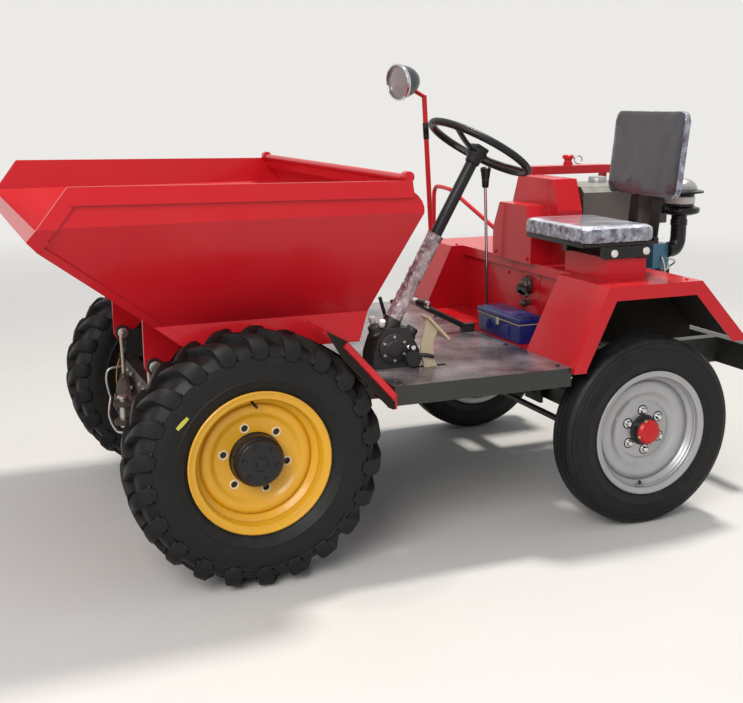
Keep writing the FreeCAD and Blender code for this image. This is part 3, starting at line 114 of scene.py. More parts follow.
@dataclass(frozen=True)
class Finish:
    """One procedural finish: paint, metal, rubber or plastic with its dust, grain and wear; on the seat's
    films and the column's sleeve the dust patches are painted highlights and painted sky reflection.

    Args:
        name: the material's name.
        colour: linear base colour.
        metallic, rough, coat: the shader's own values.
        mottle: how far the colour drifts over large patches.
        grain, grain_size: height in metres and spacing of the surface's grain.
        dust_and_sheen: share of dust on faces that look up; on the seat's films and the column's sleeve it is
            painted highlight and painted sky reflection.
        dust_and_sheen_colour: the colour of the dust, and on those films the colour of the painted highlight.
        wear: share of worn edges, which show the wear colour.
        wear_colour: the colour under the paint.
        edge: radius of the softened edges.
        wrinkle: height of a film's or skin's creases.
        side_colour: the colour of faces that don't look up, if it differs; on the tank it is painted shade
            with a painted reflection of the red paint.
        dust_and_sheen_side: share of the dust and painted highlight that upright faces keep.
        dust_and_sheen_scale: patches of dust and painted highlight per metre.
        wrinkle_scale: creases per metre.
        clear: share of light that passes through.
        shine: the shader's specular level.
        uneven: how far the roughness drifts, as a share of itself.
    """

    name: str
    colour: Colour
    metallic: float = 0.0
    rough: float = 0.4
    coat: float = 0.0
    mottle: float = 0.12
    grain: float = 0.0002
    grain_size: float = 0.004
    dust_and_sheen: float = 0.0
    dust_and_sheen_colour: Colour = (0.42, 0.37, 0.3)
    wear: float = 0.0
    wear_colour: Colour = (0.1, 0.07, 0.05)
    edge: float = 0.0015
    wrinkle: float = 0.0
    wrinkle_scale: float = 9.0
    side_colour: Colour | None = None
    dust_and_sheen_side: float = 0.25
    dust_and_sheen_scale: float = 23.0
    clear: float = 0.0
    shine: float = 0.5
    uneven: float = 0.19

    def make(self) -> bpy.types.Material:
        """Builds the node tree, or returns it where it is already built.

        Returns:
            The material.
        """
        known = bpy.data.materials.get(self.name)
        if known:
            return known
        material = bpy.data.materials.new(self.name)
        material.use_nodes = True
        tree = material.node_tree
        shader = tree.nodes["Principled BSDF"]
        shader.inputs["Metallic"].default_value = self.metallic
        shader.inputs["Coat Weight"].default_value = self.coat
        shader.inputs["Coat Roughness"].default_value = COAT_ROUGH
        shader.inputs["Specular IOR Level"].default_value = self.shine
        shader.inputs["Transmission Weight"].default_value = self.clear
        where = tree.nodes.new("ShaderNodeTexCoord").outputs["Object"]
        patches = noise(tree, where, PATCH_SCALE, 4.0)
        spots = noise(tree, where, SPOT_SCALE, 6.0)
        shade = tuple(c * (1.0 - self.mottle) for c in self.colour)
        colour = mix_colour(tree, patches, self.colour, shade)
        # Faces that don't look up take the side colour; on the tank it is painted shade with a painted
        # reflection of the red paint.
        if self.side_colour:
            colour = mix_colour(tree, facing_up(tree, 0.3, 0.8), self.side_colour, colour)
        if self.wear > 0.0:
            colour = mix_colour(tree, self._worn_edges(tree, spots), colour, self.wear_colour)
        # Dust; on the seat's films and the column's sleeve these patches are painted highlights and painted
        # sky reflection.
        if self.dust_and_sheen > 0.0:
            dust_and_sheen_noise = noise(tree, where, self.dust_and_sheen_scale, 6.0)
            colour = mix_colour(tree, self._dust_and_sheen_mask(tree, dust_and_sheen_noise), colour, self.dust_and_sheen_colour)
        tree.links.new(colour, shader.inputs["Base Color"])
        spread = self.rough * self.uneven
        rough = map_range(tree, spots, 0.3, 0.7, self.rough - spread, min(1.0, self.rough + spread))
        tree.links.new(rough, shader.inputs["Roughness"])
        self._relief(tree, where, shader)
        return material

    def _worn_edges(self, tree: Tree, spots: Socket) -> Socket:
        """A mask that is high along sharp edges, broken up by spots.

        Args:
            tree: the node tree.
            spots: a fine noise.

        Returns:
            The mask.
        """
        bevel = tree.nodes.new("ShaderNodeBevel")
        bevel.inputs["Radius"].default_value = WEAR_REACH
        bevel.samples = BEVEL_SAMPLES
        geometry = tree.nodes.new("ShaderNodeNewGeometry")
        turn = tree.nodes.new("ShaderNodeVectorMath")
        turn.operation = "DOT_PRODUCT"
        tree.links.new(bevel.outputs["Normal"], turn.inputs[0])
        tree.links.new(geometry.outputs["Normal"], turn.inputs[1])
        edge = map_range(tree, turn.outputs["Value"], 0.9, 0.78, 0.0, 1.0)
        broken = map_range(tree, spots, 0.5, 0.62, 0.0, self.wear)
        return multiply(tree, edge, broken)

    def _dust_and_sheen_mask(self, tree: Tree, spots: Socket) -> Socket:
        """A mask of dust that lies on faces that look up; on the film finishes it marks painted highlights and
        painted sky reflection.

        Args:
            tree: the node tree.
            spots: a fine noise.

        Returns:
            The mask.
        """
        upward = map_range(tree, facing_up(tree, 0.0, 0.9), 0.0, 1.0, self.dust_and_sheen_side, 1.0)
        patchy = map_range(tree, spots, 0.35, 0.75, 0.0, self.dust_and_sheen)
        return multiply(tree, upward, patchy)

    def _relief(self, tree: Tree, where: Socket, shader: bpy.types.Node) -> None:
        """Soft edges, grain and creases on the shader's normal.

        Args:
            tree: the node tree.
            where: the point on the piece.
            shader: the node that takes the normal.
        """
        bevel = tree.nodes.new("ShaderNodeBevel")
        bevel.inputs["Radius"].default_value = self.edge
        bevel.samples = BEVEL_SAMPLES
        normal = bevel.outputs["Normal"]
        grain = noise(tree, where, 1.0 / self.grain_size, 2.0)
        normal = bump(tree, grain, self.grain, normal)
        if self.wrinkle > 0.0:
            warp = tree.nodes.new("ShaderNodeTexNoise")
            warp.inputs["Scale"].default_value = self.wrinkle_scale
            warp.inputs["Detail"].default_value = 4.0
            warp.inputs["Distortion"].default_value = 2.2
            tree.links.new(where, warp.inputs["Vector"])
            normal = bump(tree, warp.outputs["Fac"], self.wrinkle, normal)
        tree.links.new(normal, shader.inputs["Normal"])


def facing_up(tree: Tree, low: float, high: float) -> Socket:
    """How far a face looks up, from 0 at the low share to 1 at the high one.

    Args:
        tree: the node tree.
        low, high: the upward parts of the normal that give 0 and 1.

    Returns:
        The share.
    """
    geometry = tree.nodes.new("ShaderNodeNewGeometry")
    split = tree.nodes.new("ShaderNodeSeparateXYZ")
    tree.links.new(geometry.outputs["Normal"], split.inputs[0])
    return map_range(tree, split.outputs["Z"], low, high, 0.0, 1.0)


def noise(tree: Tree, where: Socket, scale: float, detail: float) -> Socket:
    """A noise texture's value at a scale in features per metre.

    Args:
        tree: the node tree.
        where: the point on the piece.
        scale: features per metre.
        detail: octaves.

    Returns:
        The noise, 0 to 1.
    """
    node = tree.nodes.new("ShaderNodeTexNoise")
    node.inputs["Scale"].default_value = scale
    node.inputs["Detail"].default_value = detail
    tree.links.new(where, node.inputs["Vector"])
    return node.outputs["Fac"]


def map_range(tree: Tree, value: Socket, low: float, high: float, to_low: float, to_high: float) -> Socket:
    """A clamped change of range.

    Args:
        tree: the node tree.
        value: the value to change.
        low, high: the range that it comes from.
        to_low, to_high: the range that it goes to.

    Returns:
        The changed value.
    """
    node = tree.nodes.new("ShaderNodeMapRange")
    tree.links.new(value, node.inputs["Value"])
    for name, number in (("From Min", low), ("From Max", high), ("To Min", to_low), ("To Max", to_high)):
        node.inputs[name].default_value = number
    return node.outputs["Result"]


def multiply(tree: Tree, a: Socket, b: Socket) -> Socket:
    """The product of two values.

    Args:
        tree: the node tree.
        a, b: the values.

    Returns:
        Their product.
    """
    node = tree.nodes.new("ShaderNodeMath")
    node.operation = "MULTIPLY"
    tree.links.new(a, node.inputs[0])
    tree.links.new(b, node.inputs[1])
    return node.outputs["Value"]


def mix_colour(tree: Tree, mask: Socket, first: Colour | Socket, second: Colour | Socket) -> Socket:
    """A mix of two colours, each a value or a socket, by a mask.

    Args:
        tree: the node tree.
        mask: 0 for the first and 1 for the second.
        first, second: each a colour or a socket.

    Returns:
        The mixed colour.
    """
    node = tree.nodes.new("ShaderNodeMix")
    node.data_type = "RGBA"
    tree.links.new(mask, node.inputs["Factor"])
    for socket, colour in ((node.inputs[6], first), (node.inputs[7], second)):
        if isinstance(colour, Socket):
            tree.links.new(colour, socket)
        else:
            socket.default_value = (*colour, 1.0)
    return node.outputs[2]


def bump(tree: Tree, height: Socket, distance: float, normal: Socket) -> Socket:
    """A bump of a height in metres, laid over another normal.

    Args:
        tree: the node tree.
        height: the relief, 0 to 1.
        distance: its height in metres.
        normal: the normal under it.

    Returns:
        The new normal.
    """
    node = tree.nodes.new("ShaderNodeBump")
    node.inputs["Distance"].default_value = distance
    node.inputs["Strength"].default_value = 1.0
    tree.links.new(height, node.inputs["Height"])
    tree.links.new(normal, node.inputs["Normal"])
    return node.outputs["Normal"]


RED_PAINT = Finish("red_gloss_paint", (0.5, 0.006, 0.013), rough=0.3, coat=0.2, mottle=0.1, grain=0.0001,
                   grain_size=0.05, dust_and_sheen=0.05, dust_and_sheen_scale=7.0, edge=0.002, shine=0.25, uneven=0.03)
DARK_PAINT = Finish("dark_chassis_paint", (0.016, 0.016, 0.015), rough=0.42, dust_and_sheen=0.35, shine=0.4,
                    dust_and_sheen_colour=(0.075, 0.068, 0.058), wear=0.3, wear_colour=(0.1, 0.07, 0.05))
DECK_STEEL = Finish("worn_deck_plate", (0.06, 0.05, 0.056), metallic=0.2, rough=0.27, mottle=0.3, coat=0.15,
                    dust_and_sheen=1.0, dust_and_sheen_colour=(0.3, 0.26, 0.27), dust_and_sheen_side=0.0, dust_and_sheen_scale=5.5, wear=0.4,
                    wear_colour=(0.33, 0.31, 0.29), side_colour=(0.02, 0.021, 0.018))
RAW_IRON = Finish("rusty_casting", (0.055, 0.038, 0.03), metallic=0.4, rough=0.62, mottle=0.5, grain=0.0008,
                  grain_size=0.008, dust_and_sheen=0.5, dust_and_sheen_colour=(0.15, 0.1, 0.08), wear=0.4,
                  wear_colour=(0.3, 0.24, 0.2))
YELLOW_PAINT = Finish("yellow_rim_paint", (0.66, 0.33, 0.008), rough=0.36, coat=0.15, mottle=0.14,
                      grain=0.0003, grain_size=0.01, dust_and_sheen=0.3, dust_and_sheen_colour=(0.4, 0.26, 0.08), wear=0.3,
                      wear_colour=(0.25, 0.14, 0.03))
SILVER_PAINT = Finish("silver_rim_paint", (0.4, 0.4, 0.41), metallic=0.55, rough=0.38, mottle=0.12,
                      grain=0.0002, dust_and_sheen=0.4, dust_and_sheen_colour=(0.22, 0.2, 0.18), wear=0.2)
RUBBER = Finish("tyre_rubber", (0.008, 0.008, 0.0085), rough=0.5, mottle=0.25, grain=0.0005, grain_size=0.005,
                dust_and_sheen=0.6, dust_and_sheen_colour=(0.03, 0.029, 0.026), wear=0.5, wear_colour=(0.026, 0.025, 0.023),
                shine=0.22)
ENGINE_BLUE = Finish("engine_blue_enamel", (0.05, 0.2, 0.31), rough=0.38, coat=0.15, mottle=0.25,
                     grain=0.0006, grain_size=0.012, dust_and_sheen=0.45, dust_and_sheen_colour=(0.1, 0.09, 0.08), wear=0.4)
# The tank's upright sides take a dark warm colour: painted shade with a painted reflection of the red paint
# beside it.
TANK_GREY = Finish("grey_tank_enamel", (0.22, 0.235, 0.2), rough=0.32, coat=0.2, mottle=0.2, dust_and_sheen=0.3,
                   wear=0.3, side_colour=(0.085, 0.066, 0.058), dust_and_sheen_side=0.0)
SEAT_VINYL = Finish("wrapped_seat_vinyl", (0.035, 0.035, 0.042), rough=0.36, coat=1.0, mottle=0.3,
                    grain=0.0003, grain_size=0.004, wrinkle=0.006)
BLACK_PLASTIC = Finish("black_moulding", (0.015, 0.015, 0.016), rough=0.42, grain=0.0002, dust_and_sheen=0.15)
PALE_PAINT = Finish("primer_cream", (0.48, 0.4, 0.27), rough=0.5, dust_and_sheen=0.3, wear=0.5)
BOX_BLUE = Finish("blue_box_plastic", (0.006, 0.014, 0.13), rough=0.3, coat=0.15, mottle=0.2, dust_and_sheen=0.1,
                  shine=0.35)
CHROME = Finish("bright_chrome", (0.62, 0.62, 0.64), metallic=1.0, rough=0.12, mottle=0.05, grain=0.00003)
ZINC = Finish("zinc_fastener", (0.52, 0.5, 0.46), metallic=0.9, rough=0.36, mottle=0.25, dust_and_sheen=0.2)
BRASS = Finish("brass_fitting", (0.58, 0.45, 0.2), metallic=0.9, rough=0.35, mottle=0.25)
LENS = Finish("ribbed_lens", (0.5, 0.42, 0.42), rough=0.1, coat=1.0, mottle=0.06, grain=0.0003,
              grain_size=0.012, clear=0.62)
BLACK_GLOSS = Finish("black_enamel", (0.008, 0.008, 0.009), rough=0.26, coat=0.1, mottle=0.1, grain=0.0001,
                     grain_size=0.01, dust_and_sheen=0.12, dust_and_sheen_colour=(0.06, 0.055, 0.05), shine=0.3)
BLACK_SATIN = Finish("black_satin_moulding", (0.009, 0.009, 0.01), rough=0.42, mottle=0.15, grain=0.0002,
                     grain_size=0.004, dust_and_sheen=0.15, dust_and_sheen_colour=(0.05, 0.047, 0.043), shine=0.28)
LAMP_SHELL = Finish("dark_lamp_shell", (0.085, 0.092, 0.11), metallic=0.85, rough=0.22, mottle=0.2,
                    grain=0.00005)
# Painted shade: the dark finish of the sheets on the front guards and inside the rear arches, where these
# parts lie in shadow.
PAINTED_SHADE_SHEET = Finish("painted_shade_sheet", (0.014, 0.011, 0.009), rough=0.8, mottle=0.4, grain=0.0012,
                   grain_size=0.012, dust_and_sheen=0.3, dust_and_sheen_colour=(0.035, 0.028, 0.022), dust_and_sheen_side=0.8, shine=0.15)
MARK_PAINT = Finish("yellow_mark_paint", (0.52, 0.5, 0.06), rough=0.6, mottle=0.3, grain=0.0006,
                    grain_size=0.003)
CAST_BLACK = Finish("black_casting", (0.012, 0.012, 0.013), rough=0.5, mottle=0.25, grain=0.0005,
                    grain_size=0.006, dust_and_sheen=0.3, dust_and_sheen_colour=(0.1, 0.09, 0.08), wear=0.3)
# The film over the black cushion: its blue-grey colour and the blue-white patches on its top faces are painted
# sky reflection.
FILM_TOP_PAINTED_REFLECTION = Finish("film_on_cushion", (0.46, 0.47, 0.56), rough=0.22, coat=1.0, mottle=0.55, grain=0.0002,
                  grain_size=0.006, dust_and_sheen=0.9, dust_and_sheen_colour=(0.8, 0.82, 0.88), dust_and_sheen_scale=5.0, wrinkle=0.012,
                  wrinkle_scale=5.0)
# The crinkled film on the pads' sides: its blue-white streaks are painted highlights on the creases.
FILM_EDGE_PAINTED_HIGHLIGHT = Finish("crinkled_film", (0.055, 0.05, 0.07), rough=0.2, coat=1.0, mottle=0.3, grain=0.0006,
                   grain_size=0.006, dust_and_sheen=0.9, dust_and_sheen_colour=(0.5, 0.53, 0.63), dust_and_sheen_side=0.9, dust_and_sheen_scale=38.0,
                   wrinkle=0.022, wrinkle_scale=16.0)
BACK_FILM = Finish("grey_violet_vinyl", (0.034, 0.029, 0.038), rough=0.3, coat=0.5, mottle=0.35,
                   grain=0.00015, grain_size=0.004, dust_and_sheen=0.2, dust_and_sheen_colour=(0.12, 0.12, 0.14), dust_and_sheen_side=0.7,
                   dust_and_sheen_scale=5.0, wrinkle=0.002, wrinkle_scale=3.0)
# The film sleeve on the column: its pinkish-white patches are painted highlights on the crinkles.
FILM_SLEEVE_PAINTED_HIGHLIGHT = Finish("loose_clear_film", (0.34, 0.2, 0.23), rough=0.16, coat=0.8, mottle=0.3, grain=0.0008,
              grain_size=0.006, dust_and_sheen=1.0, dust_and_sheen_colour=(0.98, 0.84, 0.88), dust_and_sheen_side=1.0, dust_and_sheen_scale=26.0,
              wrinkle=0.02, wrinkle_scale=30.0, clear=0.15)
PALE_ROD = Finish("pale_rod", (0.5, 0.42, 0.33), metallic=0.4, rough=0.38, mottle=0.25, dust_and_sheen=0.2)
PALE_FLOOR = Finish("pale_concrete", (0.6, 0.585, 0.56), rough=0.85, mottle=0.05, grain=0.0006,
                    grain_size=0.02, edge=0.0001, shine=0.2)
WORN_RING = Finish("worn_hole_edge", (0.78, 0.66, 0.42), rough=0.42, mottle=0.35, wear=0.5, dust_and_sheen=0.3,
                   dust_and_sheen_colour=(0.32, 0.22, 0.12))
WHITE_CAP = Finish("white_cap", (0.68, 0.68, 0.66), rough=0.35, mottle=0.12, dust_and_sheen=0.2, edge=0.001)
BRIGHT_ROD = Finish("polished_rod", (0.66, 0.66, 0.67), metallic=1.0, rough=0.2, mottle=0.08, grain=0.00005)
BROWN_KNOB = Finish("dark_brown_knob", (0.035, 0.018, 0.014), rough=0.32, coat=0.3, mottle=0.25, dust_and_sheen=0.25)

SLOT_FINISHES: dict[Slot, Finish] = {
    Slot.RED: RED_PAINT, Slot.DARK: DARK_PAINT, Slot.IRON: RAW_IRON, Slot.YELLOW: YELLOW_PAINT,
    Slot.SILVER: SILVER_PAINT, Slot.TYRE: RUBBER, Slot.BLUE: ENGINE_BLUE, Slot.GREY: TANK_GREY,
    Slot.VINYL: SEAT_VINYL, Slot.BLACK: BLACK_PLASTIC, Slot.PALE: PALE_PAINT, Slot.BOX: BOX_BLUE,
    Slot.CHROME: CHROME, Slot.GLASS: LENS,
}


# Mesh making


def add_piece(name: str, form: Mesh | Shape, finish: Finish, slot: Slot, *nodes: str,
              body: str = Body.CHASSIS.value, sharp: float = 32.0) -> Object:
    """Makes an object from a mesh in the frame, dresses it and lets it ride on its body.

    Args:
        name: the piece's name.
        form: its mesh or bmesh, already in place.
        finish: its material.
        slot: the record's slot for the piece; not used.
        nodes: the CAD nodes that it stands for.
        body: the rigid body that carries it.
        sharp: edges that turn more than this many degrees stay sharp.

    Returns:
        The new object.
    """
    mesh = mesh_of(form) if isinstance(form, Shape) else form
    mesh.name = name
    mesh.materials.clear()
    mesh.materials.append(finish.make())
    mesh.polygons.foreach_set("material_index", [0] * len(mesh.polygons))
    mesh.polygons.foreach_set("use_smooth", [True] * len(mesh.polygons))
    mesh.set_sharp_from_angle(angle=math.radians(sharp))
    piece = placed(name, mesh)
    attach(piece, body)
    if nodes:
        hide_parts(*nodes)
    return piece


def placed(name: str, data: bpy.types.ID) -> Object:
    """A new object of some data, linked to the scene.

    Args:
        name: the object's name.
        data: what it shows.

    Returns:
        The object.
    """
    thing = bpy.data.objects.new(name, data)
    bpy.context.scene.collection.objects.link(thing)
    return thing


def evaluated(thing: Object) -> Mesh:
    """A new mesh of an object with its modifiers applied."""
    return bpy.data.meshes.new_from_object(thing.evaluated_get(bpy.context.evaluated_depsgraph_get()))


def mesh_of(shape: Shape) -> Mesh:
    """Turns a bmesh into a mesh with merged doubles and normals that point outwards.

    Args:
        shape: the bmesh, which is freed.

    Returns:
        The mesh.
    """
    bmesh.ops.remove_doubles(shape, verts=shape.verts, dist=MERGE)
    bmesh.ops.recalc_face_normals(shape, faces=shape.faces)
    return written(shape)


def written(shape: Shape) -> Mesh:
    """Writes a bmesh to a new mesh as it is, and frees it.

    Args:
        shape: the bmesh.

    Returns:
        The mesh.
    """
    mesh = bpy.data.meshes.new("mesh")
    shape.to_mesh(mesh)
    shape.free()
    return mesh


def turns(count: int) -> list[float]:
    """Angles spaced evenly round a circle."""
    return [2 * math.pi * k / count for k in range(count)]


def bridge(shape: Shape, rows: Sequence[Sequence[bmesh.types.BMVert]], capped: bool = False) -> None:
    """Joins closed rows of points with faces.

    Args:
        shape: the bmesh that holds the points.
        rows: the rows, each with the same number of points.
        capped: whether the first and last rows are closed too.
    """
    count = len(rows[0])
    for first, second in zip(rows, rows[1:]):
        for i in range(count):
            j = (i + 1) % count
            shape.faces.new((first[i], first[j], second[j], second[i]))
    if capped:
        shape.faces.new(rows[0])
        shape.faces.new(rows[-1][::-1])


def lathe_into(shape: Shape, profile: Profile, place: Matrix, steps: int = 64) -> None:
    """Turns a closed (radius, height) outline about the local Z axis into a ring of faces.

    Args:
        shape: takes the faces.
        profile: the outline.
        place: carries the local axes to the frame.
        steps: how many points round.
    """
    rings = []
    for angle in turns(steps):
        rings.append([shape.verts.new(place @ Vector((r * math.cos(angle), r * math.sin(angle), h)))
                      for r, h in profile])
    count = len(profile)
    for first, second in zip(rings, rings[1:] + rings[:1]):
        for i in range(count):
            j = (i + 1) % count
            if profile[i][0] < TOUCH and profile[j][0] < TOUCH:
                continue
            shape.faces.new((first[i], first[j], second[j], second[i]))
    bmesh.ops.remove_doubles(shape, verts=shape.verts, dist=TOUCH)
    bmesh.ops.dissolve_degenerate(shape, dist=SLIVER, edges=shape.edges)


def axis_place(at: Vector, way: Vector) -> Matrix:
    """The placing that carries local Z onto a direction at a point."""
    return Matrix.Translation(at) @ way.normalized().to_track_quat("Z", "Y").to_matrix().to_4x4()


def lathe(parts: Iterable[tuple[Profile, Vector, Vector]], steps: int = 64) -> Mesh:
    """One mesh of several turned outlines, each with its place and axis.

    Args:
        parts: an outline, the point of its foot and its axis for each.
        steps: how many points round.

    Returns:
        The mesh.
    """
    shape = bmesh.new()
    for profile, at, way in parts:
        lathe_into(shape, profile, axis_place(at, way), steps)
    return mesh_of(shape)


def rod_profile(radius: float, length: float, chamfer: float = 0.001) -> Profile:
    """The outline of a round bar with chamfered ends."""
    c = min(chamfer, radius / 2, length / 2)
    return [(0, 0), (radius - c, 0), (radius, c), (radius, length - c), (radius - c, length), (0, length)]


def box_into(shape: Shape, low: Vector, high: Vector, edge: float = 0.002, steps: int = 2,
             turn: Matrix | None = None) -> None:
    """Adds a box with rounded edges, turned about its middle if asked.

    Args:
        shape: takes the box.
        low, high: two opposite corners.
        edge: radius of the edges.
        steps: segments of the rounding.
        turn: a turn about the middle.
    """
    size = high - low
    middle = (low + high) / 2
    place = Matrix.Translation(middle) @ (turn or Matrix.Identity(4)) @ Matrix.Diagonal((*size, 1.0))
    part = bmesh.new()
    bmesh.ops.create_cube(part, size=1.0, matrix=place)
    if edge > 0:
        bmesh.ops.bevel(part, geom=part.edges[:], offset=edge, segments=steps, profile=0.6, affect="EDGES")
    copy_into(shape, part)


def copy_into(shape: Shape, part: Shape) -> None:
    """Copies one bmesh's faces into another and frees it.

    Args:
        shape: takes the faces.
        part: gives them.
    """
    known = {v: shape.verts.new(v.co) for v in part.verts}
    for face in part.faces:
        shape.faces.new([known[v] for v in face.verts])
    part.free()


def slab_into(shape: Shape, outline: Sequence[Vector], way: Vector, edge: float = 0.0015,
              steps: int = 2) -> None:
    """Adds a flat outline pushed along a direction, with rounded edges.

    Args:
        shape: takes the slab.
        outline: its corners.
        way: how far it is pushed.
        edge: radius of the edges.
        steps: segments of the rounding.
    """
    part = bmesh.new()
    low = [part.verts.new(at) for at in outline]
    high = [part.verts.new(at + way) for at in outline]
    part.faces.new(low[::-1])
    part.faces.new(high)
    rims = []
    for i in range(len(outline)):
        j = (i + 1) % len(outline)
        part.faces.new((low[i], low[j], high[j], high[i]))
        rims += [part.edges.get((low[i], low[j])), part.edges.get((high[i], high[j]))]
    if edge > 0:
        bmesh.ops.bevel(part, geom=rims, offset=edge, segments=steps, profile=0.6, affect="EDGES",
                        clamp_overlap=True)
    copy_into(shape, part)


def carved(mesh: Mesh, cutter: Mesh) -> Mesh:
    """One mesh with another's volume taken out of it.

    Args:
        mesh: the body.
        cutter: the volume.

    Returns:
        What is left.
    """
    body, tool = placed("carved", mesh), placed("carving_tool", cutter)
    cut = body.modifiers.new("cut", "BOOLEAN")
    cut.operation = "DIFFERENCE"
    cut.solver = "EXACT"
    cut.object = tool
    result = evaluated(body)
    for thing in (body, tool):
        bpy.data.objects.remove(thing)
    return result


def tube(routes: Iterable[tuple[Sequence[Vector], float]], sides: int = 5) -> Mesh:
    """A mesh of round tubes along smooth routes, each with its radius.

    Args:
        routes: points and a radius for each tube.
        sides: half the number of flats round a tube.

    Returns:
        The mesh.
    """
    curve = bpy.data.curves.new("route", "CURVE")
    curve.dimensions = "3D"
    curve.resolution_u = 10
    curve.bevel_depth = 1.0
    curve.bevel_resolution = sides
    curve.use_fill_caps = True
    for points, radius in routes:
        spline = curve.splines.new("NURBS")
        spline.points.add(len(points) - 1)
        for point, at in zip(spline.points, points):
            point.co = (*at, 1.0)
            point.radius = radius
        spline.order_u = min(3, len(points))
        spline.use_endpoint_u = True
    holder = placed("route", curve)
    mesh = evaluated(holder)
    bpy.data.objects.remove(holder)
    bpy.data.curves.remove(curve)
    return mesh


def joined(*meshes: Mesh) -> Mesh:
    """One mesh of several.

    Args:
        meshes: what to join.

    Returns:
        The mesh.
    """
    shape = bmesh.new()
    for mesh in meshes:
        shape.from_mesh(mesh)
    return written(shape)


def hex_head(radius: float, height: float, washer: float) -> Mesh:
    """A hexagon head on its washer, standing on the local XY plane.

    Args:
        radius: of the hexagon's corners.
        height: of both.
        washer: its radius.

    Returns:
        The mesh.
    """
    shape = bmesh.new()
    lathe_into(shape, [(0, 0), (washer, 0), (washer, height * 0.22), (0, height * 0.22)], Matrix.Identity(4),
               16)
    six = [(0, height * 0.2), (radius, height * 0.2), (radius, height * 0.85), (radius * 0.86, height),
           (0, height)]
    lathe_into(shape, six, Matrix.Identity(4), 6)
    return mesh_of(shape)


# Geometry Nodes for what repeats


